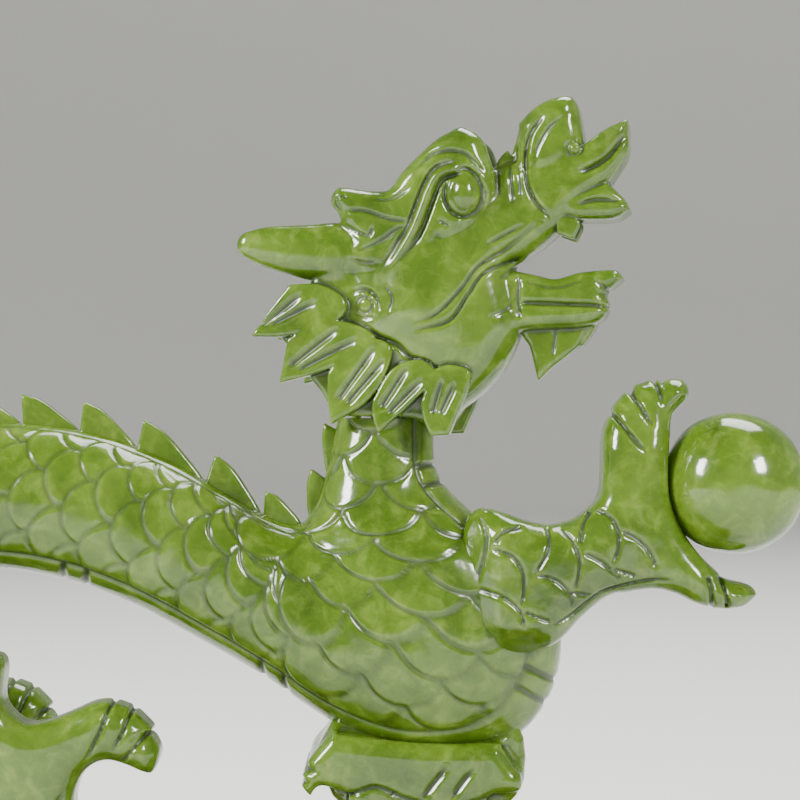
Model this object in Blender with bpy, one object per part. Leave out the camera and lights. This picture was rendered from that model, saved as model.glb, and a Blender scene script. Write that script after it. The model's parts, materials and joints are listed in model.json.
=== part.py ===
# A jade dragon holding a pearl, on a carved wooden stand.
# Frame: origin under the middle of the whole object, +Z up, +X the way the dragon faces.
# The dragon's right side is its -Y side. Lengths in this file are millimetres until build().

import math

import bpy
import bmesh
from mathutils import Matrix, Vector

# Driving dimensions, in millimetres.
GAP = 0.3
SIDES = 16
STEPS_BETWEEN_SECTIONS = 2

PEARL_CENTRE = (145.2, -12.0, 139.8)
PEARL_RADIUS = 17.5

NECK_SEAT_Z = 155.5
HEAD_AXIS_X = 60.25
HEAD_YAW_DEG = -10.0
HEAD_RECESS_RADIUS = 13.0
NECK_PEG_RADIUS = 3.5
NECK_PEG_BOTTOM = 137.0
NECK_PEG_TOP = 173.0

STAND_HALF_LENGTH = 132.0
STAND_HALF_WIDTH = 45.0
BOARD_BOTTOM = 17.5
BOARD_TOP = 27.5
BOARD_CORNER = 14.0
SOCKET_DEPTH = 4.0
SOCKET_CLEARANCE = 0.5
FOOT_X = 118.0
FOOT_Y = 33.0
FOOT_HALF = 8.0
RAIL_HALF_THICKNESS = 3.0
RAIL_HEIGHT = 11.0
FRONT_TENON = (43.0, 93.0, 12.0)
REAR_TENON = (-112.0, -20.0, 15.0)

# The share of a pillow-like slab's thickness over which each of its broad faces is drawn in.
PILLOW_SHARE = 0.22
BARB_HALF_THICKNESS = 1.8
CLOUD_HALF_THICKNESS = 17.0
CLOUD_BASE_HALF = 24.0
PILLAR_HALF_THICKNESS = 12.0
PAW_REST_Z = 51.0

# The body's cross-sections: back point x, z, belly point x, z, and half width along Y.
FRONT_SECTIONS = [
    (48.5, NECK_SEAT_Z, 72.0, NECK_SEAT_Z, 11.0),
    (45.75, 142.5, 72.5, 144.0, 12.0),
    (43.5, 135.0, 75.75, 137.75, 13.5),
    (41.0, 131.0, 84.0, 130.0, 16.0),
    (40.0, 129.75, 100.25, 116.25, 19.5),
    (39.0, 129.25, 104.0, 100.0, 21.0),
    (38.25, 129.0, 100.25, 85.0, 21.5),
    (37.25, 129.0, 89.0, 74.5, 21.5),
    (36.0, 129.25, 69.0, 72.5, 21.0),
    (34.0, 129.75, 49.0, 79.5, 20.5),
    (29.5, 131.75, 31.0, 91.25, 19.5),
    (20.25, 137.0, 14.0, 101.0, 18.5),
    (7.75, 144.25, -2.25, 109.5, 17.5),
    (-8.5, 150.75, -18.5, 115.5, 17.0),
    (-26.0, 154.0, -34.75, 118.25, 17.0),
    (-43.5, 153.75, -48.5, 117.5, 17.0),
]
REAR_SECTIONS = [
    (-43.5, 153.75, -48.5, 117.5, 17.0),
    (-60.0, 150.0, -58.0, 112.5, 17.5),
    (-75.5, 142.5, -67.25, 105.0, 18.0),
    (-91.0, 131.25, -76.0, 96.25, 18.0),
    (-103.5, 116.25, -87.25, 87.5, 17.0),
    (-110.5, 108.0, -99.0, 81.0, 15.0),
    (-116.0, 104.0, -112.0, 78.5, 13.5),
]
TAIL_SECTIONS = [
    (-116.0, 104.0, -112.0, 78.5, 13.5),
    (-121.0, 103.5, -125.5, 80.5, 12.0),
    (-126.0, 105.5, -137.5, 87.0, 10.5),
    (-129.5, 111.0, -146.0, 99.5, 9.0),
    (-132.5, 119.0, -151.5, 114.0, 8.0),
    (-135.0, 129.0, -153.0, 128.5, 7.0),
    (-137.0, 139.0, -152.5, 142.0, 6.0),
    (-137.0, 149.0, -150.5, 153.0, 5.0),
    (-134.5, 160.0, -146.5, 163.0, 4.5),
    (-133.5, 170.0, -143.5, 171.0, 4.0),
]

# Spine barbs. Each row is in millimetres along the back from the piece's front end: the foot of the
# steep side, the foot of the gentle side, then the height. The nape's two lean forward, the rest back.
FRONT_BARBS = [
    (3.0, 14.5, 3.2), (15.5, 26.0, 4.2), (38.0, 28.0, 5.5), (54.5, 38.5, 6.5),
    (73.5, 55.0, 6.5), (88.5, 74.0, 6.8), (103.0, 89.0, 6.8), (115.0, 103.5, 6.8),
]
REAR_BARBS = [
    (16.5, 2.0, 7.0), (32.0, 17.0, 7.5), (47.0, 32.5, 7.5), (62.0, 47.5, 7.5), (77.0, 62.5, 7.5),
]
TAIL_BARBS = [
    (15.0, 5.0, 7.5), (28.0, 16.0, 7.5), (41.0, 28.5, 7.5), (54.0, 41.5, 7.5), (66.0, 54.5, 8.0),
]
# A barb's outline between its feet: shares of its length, then shares of its height.
BARB_PROFILE = [(-0.1, 1.0), (0.22, 0.92), (0.55, 0.62)]
BARB_ROOT = 5.0
BARB_ANKLE = 2.0
BARB_FOOT_INSET = 0.06
TAIL_FLAMES = [
    [(-141.0, 163.0), (-153.0, 166.0), (-162.7, 178.5), (-152.0, 177.0), (-139.0, 172.0)],
    [(-143.0, 167.0), (-155.0, 179.0), (-160.0, 194.0), (-149.0, 185.0), (-137.0, 172.0)],
    [(-143.0, 168.0), (-148.5, 185.0), (-148.0, 204.0), (-139.5, 188.0), (-135.0, 170.0)],
    [(-141.5, 168.0), (-138.0, 186.0), (-130.0, 198.0), (-130.0, 183.0), (-134.5, 168.0)],
]

# Head outlines as seen from its right side, x and z.
SKULL = [
    (50, 203), (58, 211), (66, 217), (76, 221), (88, 215), (97, 209), (102, 203), (94, 194),
    (93, 179), (89, 168), (80, 158), (74, 154), (61, 157), (50, 182),
]
BROW = [
    (46, 208), (50, 213), (60, 213), (68, 221), (74, 226), (81, 227), (86, 221), (87, 215),
    (83, 207), (70, 198), (58, 193), (50, 196),
]
SNOUT = [
    (84, 197), (84, 212), (94, 217), (97, 225), (102, 232), (107, 235), (110, 230), (111, 222),
    (117, 214), (122, 208), (119, 205), (108, 203), (104, 201), (92, 193),
]
UPPER_LIP = [(107, 219), (111, 223), (117, 228), (122, 229), (121, 220), (117, 213), (108, 211)]
LOWER_JAW = [(86, 180), (86, 192), (100, 191), (110, 191), (120, 190), (116, 186), (117, 182), (112, 178)]
BEARD = [(95, 179), (97, 171), (100, 165), (106, 170), (112, 174), (113, 180)]
SNOUT_SPIKES = [
    [(88, 211), (88, 217), (90.5, 222), (93, 211)],
    [(92, 211), (91.5, 220), (93.5, 226), (97, 211)],
]
# Mane leaves: the hanging tip, the upper corner, then round the root.
MANE_LEAVES = [
    [(26, 176), (36, 189), (48, 189), (57, 184), (47, 178)],
    [(33.5, 164), (35.5, 175), (45, 181), (60, 180), (57, 172)],
    [(46.5, 154), (45.5, 167), (52, 176), (62, 176), (60, 166)],
    [(58.5, 151), (57, 160), (60, 171), (67, 174), (73, 166)],
    [(71.5, 151), (69, 160), (71, 169), (79, 169), (83, 163)],
]
MANE_INNER_Y = 12.0
MANE_OUTER_Y = 15.5
HORN_PATH = [
    (60, 6, 196, 7), (44, 9, 196, 6.7), (34, 10.3, 196.8, 5), (26, 11.3, 198, 3.2), (22.9, 11.6, 198.3, 1.4),
]

# Limbs: upper edge x, z, lower edge x, z, middle y, half width along Y.
ARM = [
    (78.0, 126.0, 86.0, 100.0, -12.0, 7.0),
    (86.0, 131.0, 92.0, 97.0, -14.0, 10.2),
    (96.0, 130.5, 102.0, 100.0, -14.0, 10.5),
    (106.0, 130.0, 113.0, 110.0, -12.5, 9.5),
    (112.5, 136.0, 125.0, 116.0, -12.0, 9.3),
    (113.8, 143.0, 131.0, 135.0, -12.0, 9.5),
    (114.5, 152.0, 131.0, 145.0, -12.0, 8.5),
    (118.0, 159.0, 132.0, 154.0, -12.0, 7.2),
    (126.5, 165.0, 133.5, 160.0, -12.0, 5.5),
    (135.5, 163.5, 135.8, 162.3, -12.0, 3.0),
]
THUMB = [
    (116.0, 128.0, 118.0, 113.0, -12.0, 7.0),
    (127.0, 131.0, 124.0, 112.6, -12.0, 8.5),
    (134.5, 126.0, 130.0, 112.0, -12.0, 8.5),
    (138.0, 121.5, 134.5, 111.0, -12.0, 8.0),
    (142.0, 117.8, 139.0, 108.8, -12.0, 7.0),
    (145.5, 115.3, 144.2, 107.5, -12.0, 6.0),
    (150.0, 114.3, 149.5, 109.0, -12.0, 4.5),
    (152.7, 113.0, 152.5, 111.8, -12.0, 2.5),
]

# Limbs as tubes: middle x, y, z, radius in the side view, radius along Y.
FAR_ARM = [
    (90.0, 10.0, 117.0, 11.0, 9.0),
    (82.0, 17.0, 110.0, 12.5, 9.5),
    (73.0, 20.5, 100.0, 11.0, 8.5),
    (66.5, 21.5, 89.5, 9.0, 7.5),
    (68.0, 21.0, 79.0, 8.0, 7.0),
    (73.0, 20.5, 70.0, 9.0, 7.0),
    (79.0, 20.0, 62.0, 7.0, 5.5),
    (83.0, 19.5, 55.5, 3.0, 3.0),
]
HIND_LEG = [
    (-80.0, 10.0, 126.0, 12.0, 8.0),
    (-70.0, 15.0, 117.0, 15.0, 10.0),
    (-60.0, 17.5, 106.0, 13.5, 10.0),
    (-51.0, 17.5, 96.0, 11.5, 9.0),
    (-45.5, 17.5, 86.0, 10.5, 8.5),
    (-41.0, 17.0, 76.0, 10.5, 9.0),
    (-37.0, 17.0, 66.0, 10.0, 9.0),
    (-35.0, 17.0, 58.0, 9.5, 8.5),
    (-34.0, 17.0, 53.5, 8.0, 7.5),
]
HIND_UPPER_CLAW = [
    (-44.0, 17.0, 73.0, 9.0, 7.0),
    (-31.0, 17.0, 71.5, 8.6, 8.0),
    (-20.0, 16.5, 75.0, 7.8, 8.0),
    (-10.0, 16.0, 77.0, 7.2, 7.5),
    (-3.0, 16.0, 74.5, 6.4, 6.5),
    (2.0, 16.0, 70.5, 3.4, 4.0),
]
HIND_LOWER_CLAW = [
    (-38.0, 17.0, 60.0, 7.5, 7.0),
    (-28.0, 17.0, 57.0, 5.5, 6.5),
    (-18.0, 17.0, 54.5, 3.0, 5.0),
    (-12.0, 17.0, 53.0, 1.5, 2.5),
]
HIND_BACK_CLAW = [
    (-36.0, 17.0, 61.0, 6.0, 6.0),
    (-46.0, 17.0, 57.0, 4.8, 5.0),
    (-54.0, 17.0, 54.0, 2.5, 3.5),
]
FAR_HIND_LEG = [
    (-86.0, 9.0, 113.0, 10.0, 8.0),
    (-83.0, 14.0, 107.0, 13.0, 10.0),
    (-79.0, 17.0, 99.0, 12.5, 9.5),
    (-75.0, 17.5, 90.0, 11.0, 8.5),
    (-72.0, 17.5, 80.0, 10.0, 8.0),
    (-69.5, 17.0, 70.0, 10.0, 8.5),
    (-67.0, 17.0, 61.0, 9.5, 8.5),
    (-66.0, 17.0, 53.5, 8.0, 7.5),
]
FAR_CLAWS_SHIFT_X = -31.0
LEG_FLOOR_BOTTOM = 30.0

FRONT_CLOUD = [
    (47.75, 79.0), (44.0, 73.0), (40.75, 68.75), (39.5, 65.75), (39.3, 63.0), (41.3, 60.3),
    (43.8, 62.7), (50.3, 60.7), (51.5, 57.5), (52.0, 52.0), (45.0, 48.0), (38.5, 42.0), (40.5, 35.0),
    (36.5, 28.0), (98.5, 28.0), (96.5, 34.5), (99.0, 41.0), (92.5, 47.0), (85.0, 52.0), (85.0, 58.0),
    (87.8, 60.7), (94.0, 61.7), (94.5, 65.3), (92.5, 68.0), (89.5, 72.7), (90.0, 82.0), (70.0, 90.0),
    (50.0, 88.0),
]
REAR_PILLAR = [
    (-117.0, 40.0), (-113.0, 52.0), (-118.5, 60.0), (-117.0, 68.0), (-112.0, 74.0), (-110.0, 95.0),
    (-88.0, 98.0), (-84.0, 82.0), (-79.0, 74.0), (-78.5, 66.0), (-84.0, 58.0), (-82.0, 40.0),
]
REAR_BASE = [
    (-122.0, 28.0), (-118.0, 34.0), (-121.0, 41.0), (-115.0, 48.0), (-104.0, PAW_REST_Z),
    (-70.0, PAW_REST_Z), (-40.0, PAW_REST_Z), (-18.0, PAW_REST_Z), (-10.5, 45.0), (-13.5, 37.0),
    (-8.0, 28.0),
]

# Dowels: the two end points, then the radius.
DOWELS = {
    "neck_peg": ((HEAD_AXIS_X, 0.0, NECK_PEG_BOTTOM), (HEAD_AXIS_X, 0.0, NECK_PEG_TOP), NECK_PEG_RADIUS),
    "body_peg": ((-58.0, 0.0, 137.5), (-34.0, 0.0, 134.2), 4.0),
    "tail_peg": ((-124.0, 0.0, 92.8), (-104.5, 0.0, 89.8), 3.0),
    "front_right_leg_peg": ((92.0, -20.5, 114.5), (92.0, -8.0, 114.5), 2.0),
    "front_left_leg_peg": ((76.0, 9.0, 104.0), (76.0, 23.0, 104.0), 2.0),
    "hind_right_leg_peg": ((-69.0, -9.0, 115.5), (-69.0, -21.5, 115.5), 2.0),
    "hind_left_leg_peg": ((-81.5, 8.0, 104.0), (-81.5, 21.5, 104.0), 2.0),
    "pearl_peg": ((119.0, -12.0, PEARL_CENTRE[2]), (135.0, -12.0, PEARL_CENTRE[2]), 1.5),
    "front_cloud_peg": ((70.0, 0.0, 62.0), (70.0, 0.0, 83.0), 3.0),
    "rear_cloud_peg": ((-97.0, 0.0, 72.0), (-97.0, 0.0, 94.0), 3.0),
}


def clear_scene():
    for obj in list(bpy.data.objects):
        bpy.data.objects.remove(obj, do_unlink=True)


def make_material(name, colour, roughness):
    material = bpy.data.materials.new(name)
    material.use_nodes = True
    shader = material.node_tree.nodes["Principled BSDF"]
    shader.inputs["Base Color"].default_value = (*colour, 1.0)
    shader.inputs["Roughness"].default_value = roughness
    shader.inputs["Metallic"].default_value = 0.0
    return material


def solid(name, points, faces):
    """One closed solid from points in millimetres, with its faces turned outwards."""
    mesh = bpy.data.meshes.new(name)
    mesh.from_pydata([Vector(point) * 0.001 for point in points], [], faces)
    shape = bmesh.new()
    shape.from_mesh(mesh)
    bmesh.ops.recalc_face_normals(shape, faces=shape.faces)
    bmesh.ops.triangulate(shape, faces=[face for face in shape.faces if len(face.verts) > 4])
    shape.to_mesh(mesh)
    shape.free()
    obj = bpy.data.objects.new(name, mesh)
    bpy.context.scene.collection.objects.link(obj)
    return obj


def loft(name, rings):
    """A skin over rings of equal point counts, closed by a flat face at each end."""
    count = len(rings[0])
    points = [point for ring in rings for point in ring]
    faces = []
    for ring in range(len(rings) - 1):
        for side in range(count):
            following = (side + 1) % count
            low = ring * count
            high = low + count
            faces.append((low + side, low + following, high + following, high + side))
    faces.append(tuple(range(count)))
    faces.append(tuple(len(points) - count + side for side in range(count)))
    return solid(name, points, faces)


def catmull(before, start, end, after, t):
    """A point of the smooth curve from start to end, for rows of numbers."""
    return tuple(
        0.5 * (2 * b + (c - a) * t + (2 * a - 5 * b + 4 * c - d) * t * t + (3 * b - a - 3 * c + d) * t ** 3)
        for a, b, c, d in zip(before, start, end, after)
    )


def smooth_rows(rows, steps=STEPS_BETWEEN_SECTIONS):
    """The rows with smoothly interpolated ones added between them."""
    result = []
    for index in range(len(rows) - 1):
        before = rows[max(index - 1, 0)]
        after = rows[min(index + 2, len(rows) - 1)]
        for step in range(steps):
            result.append(catmull(before, rows[index], rows[index + 1], after, step / steps))
    result.append(rows[-1])
    return result


def edge_ring(row, grow=0.0):
    """An oval between an upper and a lower edge point, standing square to the side view."""
    x1, z1, x2, z2, middle_y, half_width = row
    centre = Vector(((x1 + x2) / 2, middle_y, (z1 + z2) / 2))
    reach = Vector(((x1 - x2) / 2, 0.0, (z1 - z2) / 2))
    reach += reach.normalized() * grow
    ring = []
    for side in range(SIDES):
        angle = 2 * math.pi * side / SIDES
        ring.append(centre + reach * math.cos(angle) + Vector((0, (half_width + grow) * math.sin(angle), 0)))
    return ring


def edge_loft(name, rows, grow=0.0):
    return loft(name, [edge_ring(row, grow) for row in smooth_rows(rows)])


def body_rows(sections):
    return [(x1, z1, x2, z2, 0.0, half) for x1, z1, x2, z2, half in sections]


def tube_loft(name, rows, mirror=1.0, shift_x=0.0):
    """A limb with an oval section that follows its middle line. mirror is -1 on the right side."""
    rows = smooth_rows(rows)
    middles = [Vector((x + shift_x, y * mirror, z)) for x, y, z, _, _ in rows]
    rings = []
    for index, row in enumerate(rows):
        ahead = middles[min(index + 1, len(rows) - 1)] - middles[max(index - 1, 0)]
        across = ahead.cross(Vector((0, 1, 0))).normalized()
        depth = ahead.cross(across).normalized()
        ring = []
        for side in range(SIDES):
            angle = 2 * math.pi * side / SIDES
            ring.append(middles[index] + across * row[3] * math.cos(angle) + depth * row[4] * math.sin(angle))
        rings.append(ring)
    return loft(name, rings)


def slab(name, outline, low_y, high_y, inset=0.0):
    """The outline with thickness along Y. With an inset, its two broad faces are drawn in like a pillow's."""
    middle_x = sum(x for x, _ in outline) / len(outline)
    middle_z = sum(z for _, z in outline) / len(outline)
    depth = (high_y - low_y) * PILLOW_SHARE

    def ring(y, scale):
        return [(middle_x + (x - middle_x) * scale, y, middle_z + (z - middle_z) * scale) for x, z in outline]

    if inset == 0.0:
        return loft(name, [ring(low_y, 1.0), ring(high_y, 1.0)])
    rings = [
        ring(low_y, 1 - inset), ring(low_y + depth, 1.0),
        ring(high_y - depth, 1.0), ring(high_y, 1 - inset),
    ]
    return loft(name, rings)


def rod(name, start, end, radius, sides=12):
    """A round bar between two points."""
    start = Vector(start)
    end = Vector(end)
    turn = (end - start).to_track_quat("Z", "Y").to_matrix()
    rings = []
    for middle in (start, end):
        ring = []
        for side in range(sides):
            angle = 2 * math.pi * side / sides
            ring.append(middle + turn @ Vector((radius * math.cos(angle), radius * math.sin(angle), 0)))
        rings.append(ring)
    return loft(name, rings)


def ball(name, centre, radius, segments=32, rings=16):
    mesh = bpy.data.meshes.new(name)
    shape = bmesh.new()
    bmesh.ops.create_uvsphere(shape, u_segments=segments, v_segments=rings, radius=radius * 0.001)
    bmesh.ops.translate(shape, verts=shape.verts, vec=Vector(centre) * 0.001)
    shape.to_mesh(mesh)
    shape.free()
    obj = bpy.data.objects.new(name, mesh)
    bpy.context.scene.collection.objects.link(obj)
    return obj


def combine(target, tool, operation):
    """Joins the tool to the target, or cuts it away, and keeps only the result."""
    modifier = target.modifiers.new(operation.lower(), "BOOLEAN")
    modifier.operation = operation
    modifier.object = tool
    graph = bpy.context.evaluated_depsgraph_get()
    result = bpy.data.meshes.new_from_object(target.evaluated_get(graph))
    target.modifiers.clear()
    target.data = result
    bpy.data.objects.remove(tool, do_unlink=True)
    return target


def add(target, *tools):
    for tool in tools:
        combine(target, tool, "UNION")
    return target


def cut(target, *tools):
    for tool in tools:
        combine(target, tool, "DIFFERENCE")
    return target


def cut_for_dowels(target, *names):
    """Holes for the named dowels, with clearance all round and at both ends."""
    for name in names:
        start, end, radius = DOWELS[name]
        start = Vector(start)
        end = Vector(end)
        along = (end - start).normalized()
        cut(target, rod("hole", start - along * GAP, end + along * GAP, radius + GAP))
    return target


def back_at(sections, distance):
    """The point that far along the back, and the direction out of the body there."""
    rows = smooth_rows(sections)
    for row, following in zip(rows, rows[1:]):
        start = Vector(row[:2])
        step = Vector(following[:2]) - start
        if distance <= step.length:
            return start + step * (distance / step.length), (start - Vector(row[2:4])).normalized()
        distance -= step.length
    raise ValueError("a barb stands past the end of its body piece")


def barb(sections, steep, gentle, height):
    """A spine barb: steep on one side, sloping down to the other, with its foot sunk into the body."""
    first, outward = back_at(sections, steep)
    last, _ = back_at(sections, gentle)
    along = last - first
    up = Vector((-along.y, along.x)).normalized()
    if up.dot(outward) < 0:
        up = -up
    crown = [first + along * share + up * height * rise for share, rise in BARB_PROFILE]
    inset = along * BARB_FOOT_INSET
    ankle = up * BARB_ANKLE
    root_depth = up * BARB_ROOT
    root = [
        last - inset - ankle, last - 3 * inset - root_depth,
        first + 3 * inset - root_depth, first + inset - ankle,
    ]
    return slab("barb", [tuple(point) for point in crown + root], -BARB_HALF_THICKNESS, BARB_HALF_THICKNESS)


def add_barbs(body, sections, barbs):
    return add(body, *[barb(sections, *row) for row in barbs])


def whole_body(grow):
    """The body from neck to tail as one cutter, larger all round by grow."""
    return edge_loft("body cutter", body_rows(FRONT_SECTIONS + REAR_SECTIONS[1:] + TAIL_SECTIONS[1:4]), grow)


def make_front_body():
    body = edge_loft("front_body", body_rows(FRONT_SECTIONS))
    add_barbs(body, FRONT_SECTIONS, FRONT_BARBS)
    cut_for_dowels(body, "neck_peg", "body_peg", "front_right_leg_peg", "front_left_leg_peg")
    return cut_for_dowels(body, "front_cloud_peg")


def seam_shift(sections):
    """The first section moved on by the seam's gap, along the way the body runs."""
    x1, z1, x2, z2, half = sections[0]
    across = Vector((x1 - x2, z1 - z2)).normalized()
    ahead = Vector((-across.y, across.x)) * GAP
    return [(x1 + ahead.x, z1 + ahead.y, x2 + ahead.x, z2 + ahead.y, half)] + sections[1:]


def make_rear_body():
    body = edge_loft("rear_body", body_rows(seam_shift(REAR_SECTIONS)))
    add_barbs(body, REAR_SECTIONS, REAR_BARBS)
    cut_for_dowels(body, "body_peg", "tail_peg", "hind_right_leg_peg", "hind_left_leg_peg")
    return cut_for_dowels(body, "rear_cloud_peg")


def make_tail():
    tail = edge_loft("tail", body_rows(seam_shift(TAIL_SECTIONS)))
    add_barbs(tail, TAIL_SECTIONS, TAIL_BARBS)
    for index, outline in enumerate(TAIL_FLAMES):
        half = 3.2 - 0.25 * index
        add(tail, slab("flame", outline, -half, half, 0.12))
    return cut_for_dowels(tail, "tail_peg")


def make_head():
    """The head is shaped facing straight ahead, then turned on its peg's axis."""
    head = slab("head", SKULL, -13.5, 13.5, 0.10)
    for side in (-1, 1):
        low_y, high_y = sorted((side * 3.0, side * 14.0))
        add(head, slab("brow", BROW, low_y, high_y, 0.08))
        add(head, tube_loft("horn", [(x, y, z, r, r) for x, y, z, r in HORN_PATH], side))
        low_y, high_y = sorted((side * MANE_INNER_Y, side * MANE_OUTER_Y))
        for outline in MANE_LEAVES:
            add(head, slab("mane leaf", outline, low_y, high_y))
        add(head, ball("eye", (79.8, side * 12.5, 211.3), 4.6, 16, 10))
    add(head, slab("snout", SNOUT, -9.0, 9.0, 0.08))
    add(head, slab("upper lip", UPPER_LIP, -7.5, 7.5, 0.06))
    add(head, slab("lower jaw", LOWER_JAW, -7.5, 7.5, 0.06))
    add(head, slab("beard", BEARD, -3.5, 3.5))
    for outline in SNOUT_SPIKES:
        add(head, slab("spike", outline, -2.2, 2.2))
    seat = (HEAD_AXIS_X, 0.0, NECK_SEAT_Z + GAP)
    below = (HEAD_AXIS_X, 0.0, NECK_SEAT_Z - 20.0)
    cut(head, rod("neck recess", below, seat, HEAD_RECESS_RADIUS, 24))
    cut_for_dowels(head, "neck_peg")
    set_origin(head, seat)
    head.rotation_euler = (0.0, 0.0, math.radians(HEAD_YAW_DEG))
    return head


def set_origin(obj, origin):
    """Puts the object's origin at a point without moving its shape."""
    origin = Vector(origin) * 0.001
    obj.data.transform(Matrix.Translation(-origin))
    obj.location = origin


def make_front_right_leg():
    leg = edge_loft("front_right_leg", ARM)
    add(leg, edge_loft("thumb", THUMB))
    cut(leg, ball("pearl cutter", PEARL_CENTRE, PEARL_RADIUS + 2 * GAP), whole_body(GAP))
    return cut_for_dowels(leg, "front_right_leg_peg", "pearl_peg")


def make_front_left_leg():
    leg = tube_loft("front_left_leg", FAR_ARM)
    cut(leg, whole_body(GAP))
    low_y = -CLOUD_HALF_THICKNESS - GAP
    cut(leg, slab("cloud cutter", FRONT_CLOUD, low_y, -low_y))
    return cut_for_dowels(leg, "front_left_leg_peg")


def make_hind_leg(name, rows, mirror, shift_x):
    leg = tube_loft(name, rows, mirror)
    for claw in (HIND_UPPER_CLAW, HIND_LOWER_CLAW, HIND_BACK_CLAW):
        add(leg, tube_loft("claw", claw, mirror, shift_x))
    cut(leg, whole_body(GAP))
    floor_top = PAW_REST_Z + GAP
    floor = [(-140, floor_top), (20, floor_top), (20, LEG_FLOOR_BOTTOM), (-140, LEG_FLOOR_BOTTOM)]
    cut(leg, slab("rest cutter", floor, -40, 40))
    reach = PILLAR_HALF_THICKNESS + GAP
    pillar = [(-125, LEG_FLOOR_BOTTOM), (-125, 110), (-76, 110), (-76, LEG_FLOOR_BOTTOM)]
    cut(leg, slab("pillar cutter", pillar, -reach, reach))
    return cut_for_dowels(leg, name + "_peg")


def make_pearl():
    return cut_for_dowels(ball("pearl", PEARL_CENTRE, PEARL_RADIUS), "pearl_peg")


def tenon(limits):
    low_x, high_x, half = limits
    bottom = BOARD_TOP - SOCKET_DEPTH + GAP
    outline = [(low_x, 34.0), (high_x, 34.0), (high_x, bottom), (low_x, bottom)]
    return slab("tenon", outline, -half, half)


def make_front_cloud():
    half = CLOUD_HALF_THICKNESS
    cloud = slab("front_cloud", FRONT_CLOUD, -half, half, 0.06)
    add(cloud, tenon(FRONT_TENON))
    cut(cloud, whole_body(GAP))
    return cut_for_dowels(cloud, "front_cloud_peg")


def make_rear_cloud():
    cloud = slab("rear_cloud", REAR_BASE, -CLOUD_BASE_HALF, CLOUD_BASE_HALF)
    pillar = slab("pillar", REAR_PILLAR, -PILLAR_HALF_THICKNESS, PILLAR_HALF_THICKNESS, 0.06)
    add(cloud, pillar, tenon(REAR_TENON))
    cut(cloud, whole_body(GAP))
    return cut_for_dowels(cloud, "rear_cloud_peg")


def make_dowels():
    return [rod(name, start, end, radius, 12) for name, (start, end, radius) in DOWELS.items()]


def rounded_rectangle(half_x, half_y, corner, z, steps=6):
    points = []
    for quarter in range(4):
        sign_x = (1, -1, -1, 1)[quarter]
        sign_y = (1, 1, -1, -1)[quarter]
        for step in range(steps + 1):
            angle = math.pi / 2 * (quarter + step / steps)
            x = sign_x * (half_x - corner) + corner * math.cos(angle)
            y = sign_y * (half_y - corner) + corner * math.sin(angle)
            points.append((x, y, z))
    return points


def make_stand_board():
    """A moulded edge: full size at mid height, drawn in above and below."""
    rings = []
    for z, inset in ((BOARD_BOTTOM, 4.0), (BOARD_BOTTOM + 3, 0.8), (BOARD_BOTTOM + 5.5, 0.0),
                     (BOARD_TOP - 2, 0.6), (BOARD_TOP, 2.6)):
        half_x = STAND_HALF_LENGTH - inset
        half_y = STAND_HALF_WIDTH - inset
        rings.append(rounded_rectangle(half_x, half_y, BOARD_CORNER - inset, z))
    board = loft("stand_board", rings)
    for low_x, high_x, half in (FRONT_TENON, REAR_TENON):
        low_x -= SOCKET_CLEARANCE
        high_x += SOCKET_CLEARANCE
        bottom = BOARD_TOP - SOCKET_DEPTH
        outline = [(low_x, bottom), (high_x, bottom), (high_x, BOARD_TOP + 5), (low_x, BOARD_TOP + 5)]
        cut(board, slab("socket", outline, -half - SOCKET_CLEARANCE, half + SOCKET_CLEARANCE))
    return board


def make_foot(name, sign_x, sign_y):
    """A cabriole foot: square at the top, waisted, with a flat toe on the ground."""
    rings = []
    top = BOARD_BOTTOM - GAP
    for z, half, out in ((0.0, 5.0, 3.5), (2.0, 6.0, 3.2), (5.0, 5.0, 2.2), (8.0, 5.2, 1.0),
                         (11.0, 6.8, 0.2), (14.0, FOOT_HALF, 0.0), (top, FOOT_HALF, 0.0)):
        middle_x = sign_x * (FOOT_X + out)
        middle_y = sign_y * (FOOT_Y + out)
        ring = rounded_rectangle(half, half, half * 0.35, z, 3)
        rings.append([(x + middle_x, y + middle_y, z) for x, y, z in ring])
    return loft(name, rings)


def make_rail(name, sign, along_x):
    """An apron rail with a stepped, cloud-like lower edge, between two feet."""
    reach = (FOOT_X if along_x else FOOT_Y) - FOOT_HALF - GAP
    top = BOARD_BOTTOM - GAP
    drops = ((1.0, RAIL_HEIGHT), (0.86, RAIL_HEIGHT), (0.78, 7.5), (0.62, 6.0), (0.30, 6.0), (0.16, 8.0))
    right = [(reach * share, top - drop) for share, drop in drops]
    left = [(-x, z) for x, z in reversed(right)]
    outline = [(-reach, top), (reach, top)] + right + left
    rail = slab(name, outline, -RAIL_HALF_THICKNESS, RAIL_HALF_THICKNESS)
    if along_x:
        offset = (0.0, sign * (FOOT_Y + 3.0), 0.0)
    else:
        rail.data.transform(Matrix.Rotation(math.pi / 2, 4, "Z"))
        offset = (sign * (FOOT_X + 3.0), 0.0, 0.0)
    rail.location = Vector(offset) * 0.001
    return rail


def make_stand():
    pieces = [make_stand_board()]
    for front, sign_x in (("front", 1), ("rear", -1)):
        for side, sign_y in (("right", -1), ("left", 1)):
            pieces.append(make_foot(f"stand_foot_{front}_{side}", sign_x, sign_y))
    for side, sign in (("right", -1), ("left", 1)):
        pieces.append(make_rail(f"stand_rail_{side}", sign, True))
    for side, sign in (("front", 1), ("rear", -1)):
        pieces.append(make_rail(f"stand_rail_{side}", sign, False))
    return pieces


def finish(objects, material, parent):
    for obj in objects:
        obj.data.materials.clear()
        obj.data.materials.append(material)
        obj.data.shade_smooth()
        obj.data.set_sharp_from_angle(angle=math.radians(40))
        obj.parent = parent


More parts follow.
